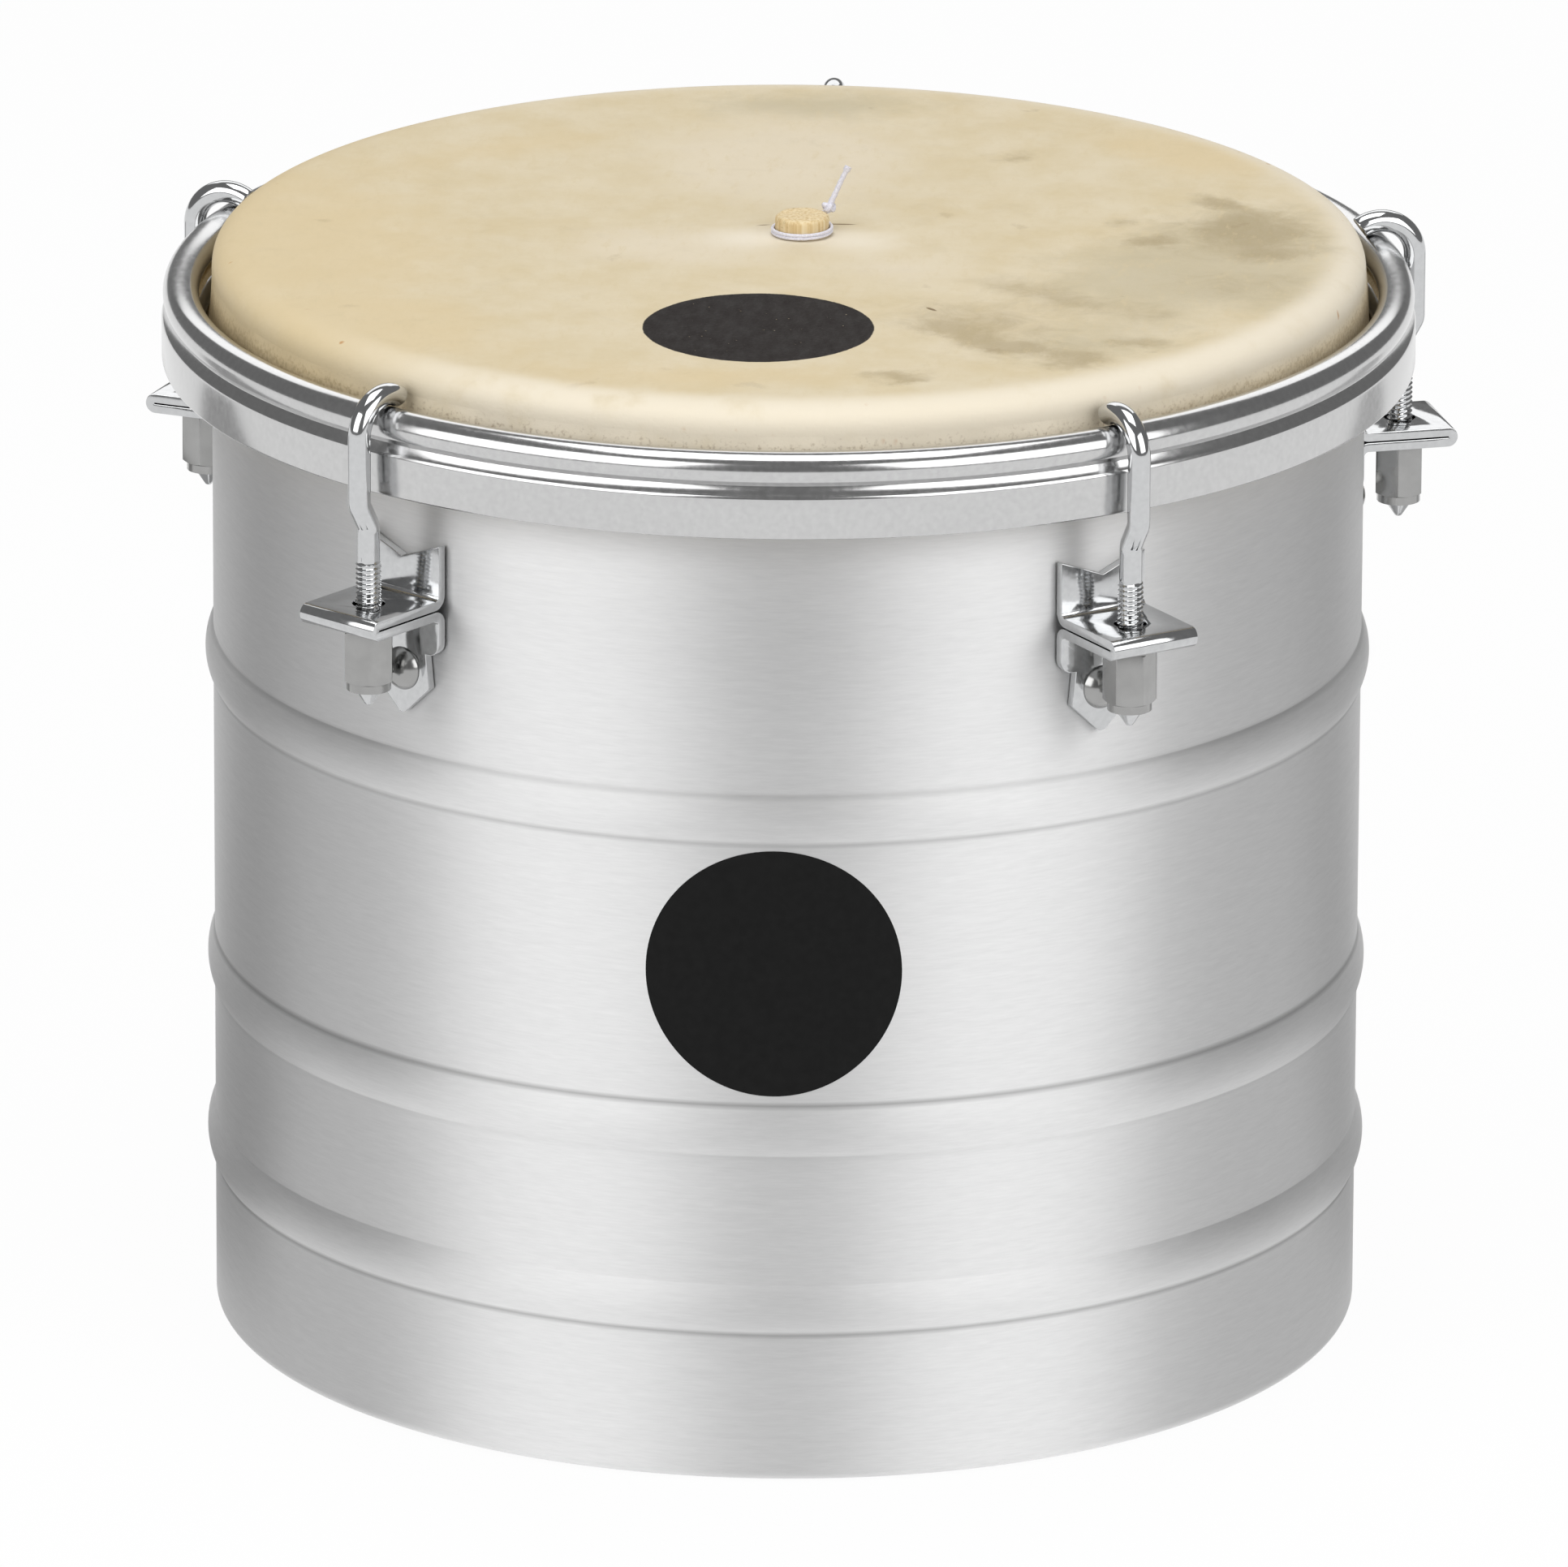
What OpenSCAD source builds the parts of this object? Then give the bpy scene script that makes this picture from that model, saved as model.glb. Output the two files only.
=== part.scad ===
// Cuica: a friction drum with a beaded aluminium shell, a goatskin head tuned by hooks and nuts,
// and a bamboo stick tied to the middle of the skin. The foot is open for the player's hand.
// Millimetres, +Z up. The origin is on the drum's axis, on the surface that it stands on.

/* [Shell] */
// Outside diameter of the plain wall
shell_d = 250; // [220:1:300]
// Height from the foot to the crest of the bearing edge
shell_h = 239.9; // [200:0.1:300]
// Thickness of the wall
shell_wall = 1.5; // [1:0.1:2.5]
// Outside radius of the rolled bearing edge
edge_roll_r = 5.2; // [4:0.1:12]
// How far the edge is rolled on past its crest, in degrees
edge_roll_past = 40; // [20:5:80]
// How far the rolled edge stands in from the wall
edge_inset = 0.8; // [0.5:0.1:1.5]
// Height of the straight lip below the rolled edge
edge_lip_h = 5.5; // [2:0.5:8]
// Height of the taper between the wall and that lip
edge_taper_h = 8; // [5:0.5:12]
// Inside radius of the turned-in foot
foot_bend_r = 0.5; // [0.3:0.1:2]
// Width of the flat rim that the drum stands on
foot_rim_w = 5; // [3:0.5:10]

/* [Rolled beads] */
// Height of a bead, from crease to crease
bead_w = 13.3; // [8:0.1:18]
// How far a bead stands out from the wall
bead_rise = 1.87; // [0.8:0.01:3]
// Height of the lowest bead's middle above the foot
bead_low_h = 38; // [20:1:50]
// Height of the middle bead's middle above the foot
bead_middle_h = 78.2; // [65:0.1:100]
// How far the top bead's middle lies below the bearing edge
bead_top_drop = 91.6; // [85:0.1:105]

/* [Goatskin] */
// Thickness of the skin
skin_t = 0.8; // [0.5:0.1:1.2]
// How far the stick draws up the middle of the skin
crown_rise = 1; // [0:0.1:4]
// Radius of the middle of the skin, which gives as the stick moves
flex_r = 25; // [15:1:50]
// Diameter of the flesh hoop that the skin is tucked round
flesh_rod_d = 6; // [4:0.5:8]
// How far the flesh hoop lies below the bearing edge
flesh_drop = 18.3; // [16:0.1:22]
// Room between the shell and the skin tucked round the flesh hoop
tuck_room = 0.9; // [0.9:0.1:2]

/* [Counter hoop] */
// Diameter of the round rod on top of the counter hoop
hoop_rod_d = 7.8; // [6:0.1:10]
// Thickness of the band below the rod
band_t = 2; // [1.5:0.1:3]
// How far the band reaches down from the middle of the rod
band_reach = 14.4; // [13:0.1:20]
// How far below the middle of the rod the band starts to lean in
shoulder_drop = 5.1; // [4.9:0.1:8]
// How far the band leans in, and up, to the weld under the rod
shoulder_in = 1.8; // [1.2:0.1:2]

/* [Tension hooks] */
// Number of lugs, hooks and nuts round the drum
lug_count = 5; // [3:1:6]
// Diameter of the plain rod of a hook
hook_d = 4.87; // [4:0.01:6]
// Outside diameter of the rolled thread on a hook
thread_d = 5.56; // [5:0.01:7]
// Bend radius of a hook over the hoop, to the middle of its rod
hook_bend_r = 8; // [7:0.1:12]
// How far round the hoop a hook bends, in degrees
hook_wrap = 125; // [100:5:150]
// How far a hook is joggled in towards the shell
joggle_in = 2.9; // [1:0.1:5]
// Height of the joggle
joggle_h = 6.7; // [5.5:0.1:10]
// Radius of the joggle's two bends, to the middle of the rod
joggle_bend_r = 3; // [2.6:0.1:3.2]
// Distance from the band's lower edge down to the joggle
joggle_drop = 0.7; // [0:0.1:4]
// Size across the four flats pressed on a hook above its thread
grip_flat = 4.5; // [4:0.05:5]
// Length of thread above the shelf of the bracket
thread_above = 9.7; // [5:0.1:12]
// Length of the cone at the end of a hook
cone_h = 3; // [1:0.1:4]
// Diameter of the blunt end of that cone
cone_end_d = 1.6; // [0.5:0.1:3]

/* [Lug brackets] */
// How far the shelf of a bracket lies below the bearing edge
shelf_drop = 49.1; // [44:0.1:56]
// Thickness of the steel strip
strip_t = 2.05; // [1.5:0.05:2.5]
// Width of the strip
strip_w = 20.8; // [16:0.1:26]
// Gap between the two layers of the folded shelf
fold_gap = 0.3; // [0.1:0.05:0.8]
// Inside radius of the bends at the wall
wall_bend_r = 1; // [0.5:0.1:2]
// How far the shelf reaches past the middle of its hole
shelf_nose = 10.4; // [8:0.1:14]
// Diameter of the hole in the shelf
shelf_hole_d = 7; // [6.4:0.1:9]
// Height of the upper plate above the shelf
plate_up_h = 12; // [8:0.1:16]
// Depth of the vee in the upper plate
vee_depth = 4; // [1:0.1:6]
// Length of the lower plate below the shelf
plate_down_h = 22.4; // [20:0.1:28]
// Length of the lower plate's full width below the shelf
plate_full_h = 5.4; // [4:0.1:7]
// Radius of the corner where the lower plate narrows
plate_corner_r = 3; // [2:0.1:4]
// Width of the lower plate's waist
waist_w = 13.2; // [11.5:0.1:15]
// Width of the lower plate where its point begins
point_w = 14.8; // [13:0.1:17]
// Length of the lower plate's point
point_h = 6.4; // [4:0.1:8]
// Radius at the end of the point
point_r = 1.7; // [1:0.1:3]

/* [Nuts, washers and bolts] */
// Size across the flats of a tuning nut
nut_af = 10; // [9:0.1:12]
// Height of a tuning nut's hexagon
nut_h = 11.7; // [8:0.1:14]
// Diameter of the round collar below the hexagon
nut_collar_d = 9.5; // [8:0.1:10]
// Height of that collar
nut_collar_h = 1.8; // [1:0.1:3]
// Diameter of the washer under the shelf
washer_d = 13; // [11:0.1:15]
// Thickness of the washer under the shelf
washer_t = 1; // [0.6:0.1:1.6]
// How far the cone of a hook reaches below its nut
hook_below_nut = 3.6; // [3.2:0.1:8]
// Diameter of a bracket bolt
bolt_d = 5; // [4:0.1:6]
// Diameter of a bracket bolt's domed head
bolt_head_d = 9.6; // [8:0.1:11]
// Height of that head
bolt_head_h = 3; // [2:0.1:4]
// How far a bracket bolt lies below the shelf
bolt_drop = 12.7; // [12:0.1:14]
// Diameter of the washer inside the shell
inner_washer_d = 10; // [9:0.1:13]
// Thickness of the washer inside the shell
inner_washer_t = 1; // [0.6:0.1:1.6]
// Size across the flats of the nut inside the shell
inner_nut_af = 8; // [7:0.1:9]
// Height of the nut inside the shell
inner_nut_h = 4; // [3:0.1:5]
// How far a bracket bolt comes through its nut
bolt_past_nut = 1.4; // [0.5:0.1:3]

/* [Stick and binding] */
// Diameter of the bamboo stick
stick_d = 11.6; // [7:0.1:14]
// Length of the stick
stick_len = 196; // [150:1:210]
// How far the stick stands out above the skin
stick_out = 4.5; // [3:0.1:8]
// How far to the right of the drum's axis the stick was tied in
stick_aside = 2.8; // [-6:0.1:6]
// How far behind the drum's axis the stick was tied in
stick_back = 0.2; // [-6:0.1:6]
// How far the joint in the bamboo lies below the stick's top
cane_joint_drop = 104; // [40:1:120]
// How far the joint in the bamboo swells out
cane_joint_rise = 0.5; // [0.2:0.1:1]
// Thickness of the binding above the skin
binding_t = 0.7; // [0.5:0.1:1.5]
// Height of the binding above the skin
binding_h = 1.4; // [1:0.1:2.5]
// Diameter of the thread wound under the skin
under_thread_d = 1.2; // [0.8:0.1:1.8]
// Turns of thread under the skin
under_turns = 2; // [1:1:4]
// Diameter of the free end of the thread
tail_d = 1.2; // [0.8:0.1:1.6]
// Diameter of the knot
knot_d = 2.4; // [1.8:0.1:3]

/* [Hidden] */
// Clearances
skin_gap = 0.05;
band_gap = 0.3;
hook_gap = 0.05;
nut_gap = 0.1;
thread_gap = 0.05;
washer_gap = 0.3;
bolt_gap = 0.15;
binding_gap = 0.2;
seat_gap = 0.05;
// Small edges
nut_edge = 0.9;
rod_inset = 0.3;
weld_neck = 1;
// How much stouter a hook's rod is where it is bent, and how far the straight runs reach into the bends
bend_swell = 0.02;
run_in = 0.2;
stick_edge = 0.7;
cane_joint_h = 5;
$fn = 96;

shell_r = shell_d / 2;
edge_z = shell_h - edge_roll_r;
taper_top_z = edge_z - edge_lip_h;
crest_r = shell_r - edge_inset - edge_roll_r;
foot_turn_r = foot_bend_r + shell_wall;
bead_r = (bead_w * bead_w / 4 + bead_rise * bead_rise) / (2 * bead_rise);
bead_heights = [bead_low_h, bead_middle_h, shell_h - bead_top_drop];

stick_r = stick_d / 2;
stick_hole_r = stick_r + skin_gap;
crown_z = shell_h + skin_t + crown_rise;
stick_top_z = crown_z + stick_out;

tuck_r = flesh_rod_d / 2 + seat_gap + skin_t;
flesh_r = shell_r + tuck_room + tuck_r;
flesh_z = shell_h - flesh_drop;
band_in_r = flesh_r + tuck_r + band_gap;
band_out_r = band_in_r + band_t;
rod_r = hoop_rod_d / 2;
rod_ring_r = band_out_r - rod_inset - rod_r;
rod_over_tuck = rod_r + tuck_r + seat_gap;
rod_z = flesh_z + sqrt(pow(rod_over_tuck, 2) - pow(rod_ring_r - flesh_r, 2));
band_low_z = rod_z - band_reach;

hook_r = hook_d / 2;
hook_over_rod = hook_bend_r - hook_r - rod_r - hook_gap;
bend_x = rod_ring_r - hook_over_rod * cos(hook_wrap);
bend_z = rod_z - hook_over_rod * sin(hook_wrap);
leg_x = bend_x + hook_bend_r;
hole_x = leg_x - joggle_in;
joggle_top_z = band_low_z - joggle_drop;
joggle_low_z = joggle_top_z - joggle_h;
// The joggle is two equal bends with a straight run between them, which is the bends' common tangent.
joggle_apart = 2 * joggle_bend_r - joggle_in;
joggle_span = norm([joggle_apart, joggle_h]);
joggle_turn = asin(2 * joggle_bend_r / joggle_span) - atan(joggle_apart / joggle_h);
joggle_run = sqrt(pow(joggle_span, 2) - 4 * pow(joggle_bend_r, 2));

shelf_z = shell_h - shelf_drop;
shelf_t = 2 * strip_t + fold_gap;
shelf_low_z = shelf_z - shelf_t;
nose_x = hole_x + shelf_nose;
plate_top_z = shelf_z + plate_up_h;
plate_low_z = shelf_low_z - plate_down_h;
plate_corner_z = shelf_low_z - plate_full_h;
point_z = plate_low_z + point_h;
bolt_z = shelf_low_z - bolt_drop;

thread_r = thread_d / 2;
thread_top_z = shelf_z + thread_above;
nut_top_z = shelf_low_z - washer_t - nut_gap;
nut_hex_z = nut_top_z - nut_h;
nut_low_z = nut_hex_z - nut_collar_h;
hook_end_z = nut_low_z - hook_below_nut;
thread_low_z = hook_end_z + cone_h;

inner_face_x = sqrt(pow(shell_r - shell_wall, 2) - pow(inner_washer_d / 2, 2)) - seat_gap;
inner_nut_x = inner_face_x - inner_washer_t;
bolt_end_x = inner_nut_x - inner_nut_h - bolt_past_nut;

// The first lug stands at the front right, so that the front faces the gap between two lugs.
function lug_turn(i) = -90 + 360 / lug_count * (i - 0.5);
// How far each nut is turned from having a corner outwards, as the tuning left it
nut_turns = [-2, 14, 0, 33, 40, 20];

// The free end of the thread, from the binding to its cut end, measured from the top of the skin at the stick
tail_route = [[4.9, 4.6, 1], [5.1, 4.9, 2.9], [5.4, 5.15, 4.6], [6.9, 5.7, 7.9], [9.5, 6.7, 13.6]];
tail_sides = 8;
knot_at = tail_route[2];

lugs = [1 : lug_count];

// A point on a circle round the given centre
function on_circle(centre, r, a) = centre + r * [cos(a), sin(a)];

// Part of a flat ring, from angle a0 round to a1
module ring_sector(r_out, r_in, a0, a1) {
    steps = ceil((a1 - a0) / 45);
    intersection() {
        difference() {
            circle(r_out);
            circle(r_in);
        }
        polygon(concat([[0, 0]], [for (k = [0 : steps]) on_circle([0, 0], 2 * r_out, a0 + (a1 - a0) * k / steps)]));
    }
}

// Carries a lug's pieces to their place round the drum, where +X leads out from the wall
module at_lug(i) {
    rotate([0, 0, lug_turn(i)]) children();
}

// Carries the stick and what is tied round it to their place in the skin
module at_stick() {
    translate([stick_aside, stick_back, 0]) children();
}

// Stands an outline of radius and height upright in the plane of a lug
module upright(depth) {
    rotate([90, 0, 0]) linear_extrude(depth, center = true) children();
}

// A bend of a hook's rod, round a centre in the plane of a lug
module rod_bend(centre, r, a0, turn) {
    translate([centre[0], 0, centre[1]]) rotate([90, 0, 0]) rotate([0, 0, a0])
        rotate_extrude(angle = turn) translate([r, 0]) circle(d = hook_d + 2 * bend_swell);
}

// A hexagon with its corners eased at one or both ends
module hexagon(af, h, low_edge, top_edge) {
    corner_r = af / 2 / cos(30);
    intersection() {
        cylinder(r = corner_r, h = h, $fn = 6);
        rotate_extrude() polygon([
            [0, 0],
            [corner_r - low_edge, 0],
            [corner_r, low_edge * tan(30)],
            [corner_r, h - top_edge * tan(30)],
            [corner_r - top_edge, h],
            [0, h]
        ]);
    }
}

module bead_outline(z) {
    centre = [shell_r + bead_rise - bead_r, z];
    intersection() {
        translate(centre) circle(bead_r);
        translate([shell_r - shell_wall, z - bead_w]) square([shell_wall + bead_rise, 2 * bead_w]);
    }
}

module bead_hollow(z) {
    translate([shell_r + bead_rise - bead_r, z]) circle(bead_r - shell_wall);
}

module shell_outline() {
    difference() {
        union() {
            polygon([
                [shell_r, foot_turn_r],
                [shell_r, taper_top_z - edge_taper_h],
                [shell_r - edge_inset, taper_top_z],
                [shell_r - edge_inset - shell_wall, taper_top_z],
                [shell_r - shell_wall, taper_top_z - edge_taper_h],
                [shell_r - shell_wall, foot_turn_r]
            ]);
            for (z = bead_heights) bead_outline(z);
        }
        for (z = bead_heights) bead_hollow(z);
    }
    translate([shell_r - foot_turn_r, foot_turn_r]) ring_sector(foot_turn_r, foot_bend_r, -90, 0);
    translate([shell_r - foot_turn_r - foot_rim_w, 0]) square([foot_rim_w, shell_wall]);
}

module shell() {
    color([0.75, 0.76, 0.77]) difference() {
        rotate_extrude() shell_outline();
        for (i = lugs) at_lug(i) translate([shell_r - 4 * shell_wall, 0, bolt_z]) rotate([0, 90, 0])
            cylinder(d = bolt_d + 2 * bolt_gap, h = 8 * shell_wall);
    }
}

// The wall's top: a straight lip, rolled inwards for the skin to bear on
module bearing_edge() {
    color([0.75, 0.76, 0.77]) rotate_extrude() {
        translate([shell_r - edge_inset - shell_wall, taper_top_z]) square([shell_wall, edge_lip_h]);
        translate([crest_r, edge_z]) ring_sector(edge_roll_r, edge_roll_r - shell_wall, 0, 90 + edge_roll_past);
    }
}

// Height of the skin's upper face, which rises evenly from the crest of the edge to the stick
function skin_z(r) = shell_h + skin_t + crown_rise * (crest_r - r) / (crest_r - stick_hole_r);

skin_under = skin_t - skin_gap;

module goatskin_head() {
    color([0.85, 0.79, 0.67]) difference() {
        rotate_extrude() polygon([
            [0, skin_z(0) - skin_under],
            [0, skin_z(0)],
            [crest_r, skin_z(crest_r)],
            [crest_r, skin_z(crest_r) - skin_under]
        ]);
        at_stick() translate([0, 0, edge_z]) cylinder(r = flex_r, h = 2 * edge_roll_r);
    }
}

module goatskin_shoulder() {
    color([0.88, 0.83, 0.73]) rotate_extrude() translate([crest_r, edge_z])
        ring_sector(edge_roll_r + skin_t, edge_roll_r + skin_gap, 0, 90);
}

module goatskin_centre() {
    color([0.87, 0.81, 0.69]) at_stick() rotate_extrude() polygon([
        [stick_hole_r, skin_z(stick_hole_r)],
        [flex_r, skin_z(flex_r)],
        [flex_r, skin_z(flex_r) - skin_under],
        [stick_hole_r, skin_z(stick_hole_r) - skin_under]
    ]);
}

// The stretch of skin that slides over the edge as the hoop is drawn down
module goatskin_collar() {
    top_r = shell_r - edge_inset;
    low_r = shell_r + tuck_room - skin_gap - skin_t;
    color([0.83, 0.77, 0.65]) rotate_extrude()
        polygon([[top_r, edge_z], [top_r + skin_t, edge_z], [low_r + skin_t, flesh_z], [low_r, flesh_z]]);
}

// The skin's rim, wrapped round the flesh hoop and open where its end is tucked in
module goatskin_tuck() {
    color([0.8, 0.73, 0.6]) rotate_extrude() translate([flesh_r, flesh_z])
        ring_sector(tuck_r, tuck_r - skin_t, -200, 110);
}

module flesh_hoop() {
    color([0.6, 0.6, 0.62]) rotate_extrude() translate([flesh_r, flesh_z]) circle(d = flesh_rod_d);
}

module counter_hoop_rod() {
    color([0.8, 0.81, 0.83]) rotate_extrude() translate([rod_ring_r, rod_z]) circle(r = rod_r);
}

module counter_hoop_band() {
    lean_z = rod_z - shoulder_drop;
    weld_r = band_out_r - shoulder_in;
    weld_top_z = rod_z - rod_r + weld_neck;
    color([0.8, 0.81, 0.83]) rotate_extrude() difference() {
        polygon([
            [band_in_r, band_low_z],
            [band_out_r, band_low_z],
            [band_out_r, lean_z],
            [weld_r, lean_z + shoulder_in],
            [weld_r, weld_top_z],
            [weld_r - weld_neck, weld_top_z],
            [weld_r - weld_neck, rod_z - rod_r - seat_gap],
            [band_in_r, lean_z + weld_neck]
        ]);
        translate([rod_ring_r, rod_z]) circle(r = rod_r);
    }
}

module tension_hook(i) {
    leg_h = bend_z - joggle_top_z + 2 * run_in;
    grip_h = joggle_low_z - thread_top_z + 2 * run_in;
    upper_bend = [leg_x - joggle_bend_r, joggle_top_z];
    lower_bend = [hole_x + joggle_bend_r, joggle_low_z];
    run_top = on_circle(upper_bend, joggle_bend_r, -joggle_turn);
    color([0.8, 0.81, 0.83]) at_lug(i) {
        rod_bend([bend_x, bend_z], hook_bend_r, 0, hook_wrap);
        translate([leg_x, 0, joggle_top_z - run_in]) cylinder(d = hook_d, h = leg_h);
        rod_bend(upper_bend, joggle_bend_r, -joggle_turn, joggle_turn);
        translate([run_top[0], 0, run_top[1]]) rotate([0, 180 + joggle_turn, 0]) translate([0, 0, -run_in])
            cylinder(d = hook_d, h = joggle_run + 2 * run_in);
        rod_bend(lower_bend, joggle_bend_r, 180 - joggle_turn, joggle_turn);
        translate([hole_x, 0, thread_top_z - run_in]) intersection() {
            cylinder(d = hook_d, h = grip_h);
            translate([-grip_flat / 2, -grip_flat / 2, 0]) cube([grip_flat, grip_flat, grip_h]);
        }
        translate([hole_x, 0, 0]) rotate_extrude() polygon([
            [0, hook_end_z],
            [cone_end_d / 2, hook_end_z],
            [thread_r, thread_low_z],
            [thread_r, thread_top_z],
            [0, thread_top_z]
        ]);
    }
}

module tuning_nut(i) {
    color([0.72, 0.72, 0.73]) at_lug(i) translate([hole_x, 0, 0]) rotate([0, 0, nut_turns[i - 1]]) difference() {
        union() {
            translate([0, 0, nut_hex_z]) hexagon(nut_af, nut_h, nut_edge, nut_edge);
            translate([0, 0, nut_low_z]) cylinder(d = nut_collar_d, h = nut_collar_h);
        }
        translate([0, 0, nut_low_z - 1]) cylinder(r = thread_r + thread_gap, h = nut_h + nut_collar_h + 2);
    }
}

module washer(i) {
    color([0.78, 0.78, 0.79]) at_lug(i) translate([hole_x, 0, shelf_low_z - washer_t]) difference() {
        cylinder(d = washer_d, h = washer_t);
        translate([0, 0, -1]) cylinder(r = thread_r + washer_gap, h = washer_t + 2);
    }
}

// The bracket's strip seen from the side: plate, bend, shelf, fold, shelf, bend, plate
module strip_outline() {
    bend_out_r = wall_bend_r + strip_t;
    fold_r = shelf_t / 2;
    wall_x = shell_r;
    translate([wall_x, shelf_z + wall_bend_r]) square([strip_t, plate_up_h - wall_bend_r]);
    translate([wall_x + bend_out_r, shelf_z + wall_bend_r]) ring_sector(bend_out_r, wall_bend_r, 180, 270);
    for (z = [shelf_z - strip_t, shelf_low_z])
        translate([wall_x + bend_out_r, z]) square([nose_x - fold_r - wall_x - bend_out_r, strip_t]);
    translate([nose_x - fold_r, shelf_z - fold_r]) ring_sector(fold_r, fold_gap / 2, -90, 90);
    translate([wall_x + bend_out_r, shelf_low_z - wall_bend_r]) ring_sector(bend_out_r, wall_bend_r, 90, 180);
    translate([wall_x, plate_low_z]) square([strip_t, plate_down_h - wall_bend_r]);
}

// The bracket's strip seen from the front: a vee on top, a waist and a rounded point below
module strip_front() {
    corner = [strip_w / 2 - plate_corner_r, plate_corner_z];
    half = concat(
        [[strip_w / 2, plate_top_z]],
        [for (a = [0 : 15 : 75]) on_circle(corner, plate_corner_r, -a)],
        [[waist_w / 2, plate_corner_z - plate_corner_r]],
        [[point_w / 2, point_z]],
        [for (a = [45 : 15 : 90]) on_circle([0, plate_low_z + point_r], point_r, -a)]
    );
    other = [for (k = [len(half) - 1 : -1 : 0]) [-half[k][0], half[k][1]]];
    polygon(concat([[0, plate_top_z - vee_depth]], half, other));
}

module lug_bracket(i) {
    color([0.8, 0.81, 0.83]) at_lug(i) difference() {
        intersection() {
            upright(strip_w) strip_outline();
            translate([shell_r - 1, 0, 0]) rotate([90, 0, 90]) linear_extrude(nose_x - shell_r + 2) strip_front();
        }
        translate([hole_x, 0, shelf_low_z - 1]) cylinder(d = shelf_hole_d, h = shelf_t + 2);
        translate([shell_r - 1, 0, bolt_z]) rotate([0, 90, 0]) cylinder(d = bolt_d + 2 * bolt_gap, h = strip_t + 2);
    }
}

module bracket_bolt(i) {
    head_x = shell_r + strip_t;
    dome_r = (pow(bolt_head_d / 2, 2) + pow(bolt_head_h, 2)) / (2 * bolt_head_h);
    color([0.74, 0.74, 0.75]) at_lug(i) translate([0, 0, bolt_z]) {
        intersection() {
            translate([head_x + bolt_head_h - dome_r, 0, 0]) rotate([0, 90, 0]) sphere(dome_r);
            translate([head_x, 0, 0]) rotate([0, 90, 0]) cylinder(d = bolt_head_d + 2, h = bolt_head_h + 1);
        }
        translate([bolt_end_x, 0, 0]) rotate([0, 90, 0]) cylinder(d = bolt_d, h = head_x - bolt_end_x);
    }
}

module inner_washer(i) {
    color([0.78, 0.78, 0.79]) at_lug(i) translate([inner_nut_x, 0, bolt_z]) rotate([0, 90, 0]) difference() {
        cylinder(d = inner_washer_d, h = inner_washer_t);
        translate([0, 0, -1]) cylinder(d = bolt_d + 2 * bolt_gap, h = inner_washer_t + 2);
    }
}

module inner_nut(i) {
    color([0.72, 0.72, 0.73]) at_lug(i) translate([inner_nut_x - inner_nut_h, 0, bolt_z]) rotate([0, 90, 0])
        difference() {
            hexagon(inner_nut_af, inner_nut_h, nut_edge / 2, nut_edge / 2);
            translate([0, 0, -1]) cylinder(d = bolt_d + 2 * thread_gap, h = inner_nut_h + 2);
        }
}

module bamboo_stick() {
    joint_z = stick_top_z - cane_joint_drop;
    low_z = stick_top_z - stick_len;
    color([0.82, 0.69, 0.46]) at_stick() rotate_extrude() polygon(concat(
        [[0, low_z], [stick_r - stick_edge, low_z], [stick_r, low_z + stick_edge]],
        [for (k = [0 : 8]) [stick_r + cane_joint_rise * sin(k * 22.5), joint_z + cane_joint_h * (k / 8 - 0.5)]],
        [[stick_r, stick_top_z - stick_edge], [stick_r - stick_edge, stick_top_z], [0, stick_top_z]]
    ));
}

// Frames along the tail: each ring of points stands square to the route there
function along(k) = let (
        before = tail_route[max(k - 1, 0)],
        after = tail_route[min(k + 1, len(tail_route) - 1)]
    ) (after - before) / norm(after - before);
function across(d) = cross(d, [0, 1, 0]) / norm(cross(d, [0, 1, 0]));

module thread_tail() {
    last = len(tail_route) - 1;
    rings = [for (k = [0 : last]) let (d = along(k), u = across(d), v = cross(d, u))
        [for (s = [0 : tail_sides - 1]) tail_route[k]
            + tail_d / 2 * (cos(360 * s / tail_sides) * u + sin(360 * s / tail_sides) * v)]];
    points = [for (ring = rings) each ring];
    walls = [for (k = [0 : last - 1]) for (s = [0 : tail_sides - 1]) let (
            a = k * tail_sides + s,
            b = k * tail_sides + (s + 1) % tail_sides
        ) each [[a, a + tail_sides, b], [b, a + tail_sides, b + tail_sides]]];
    first_end = [for (s = [0 : tail_sides - 1]) s];
    last_end = [for (s = [tail_sides - 1 : -1 : 0]) last * tail_sides + s];
    translate([0, 0, crown_z]) polyhedron(points = points, faces = concat([first_end, last_end], walls));
}

module upper_binding() {
    in_r = stick_r + binding_gap;
    ease = binding_t / 3;
    color([0.93, 0.93, 0.96]) at_stick() {
        translate([0, 0, crown_z + skin_gap]) rotate_extrude() polygon([
            [in_r, 0],
            [in_r + binding_t - ease, 0],
            [in_r + binding_t, ease],
            [in_r + binding_t, binding_h - ease],
            [in_r + binding_t - ease, binding_h],
            [in_r, binding_h]
        ]);
        translate([0, 0, crown_z]) translate(knot_at) sphere(d = knot_d, $fn = 12);
        thread_tail();
    }
}

module lower_binding() {
    in_r = stick_r + binding_gap;
    turn_h = under_thread_d * 0.9;
    top_z = crown_z - skin_t - skin_gap - under_thread_d / 2;
    color([0.93, 0.93, 0.96]) at_stick() rotate_extrude() {
        for (k = [0 : under_turns - 1]) translate([in_r + under_thread_d / 2, top_z - k * turn_h])
            circle(d = under_thread_d);
    }
}

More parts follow.
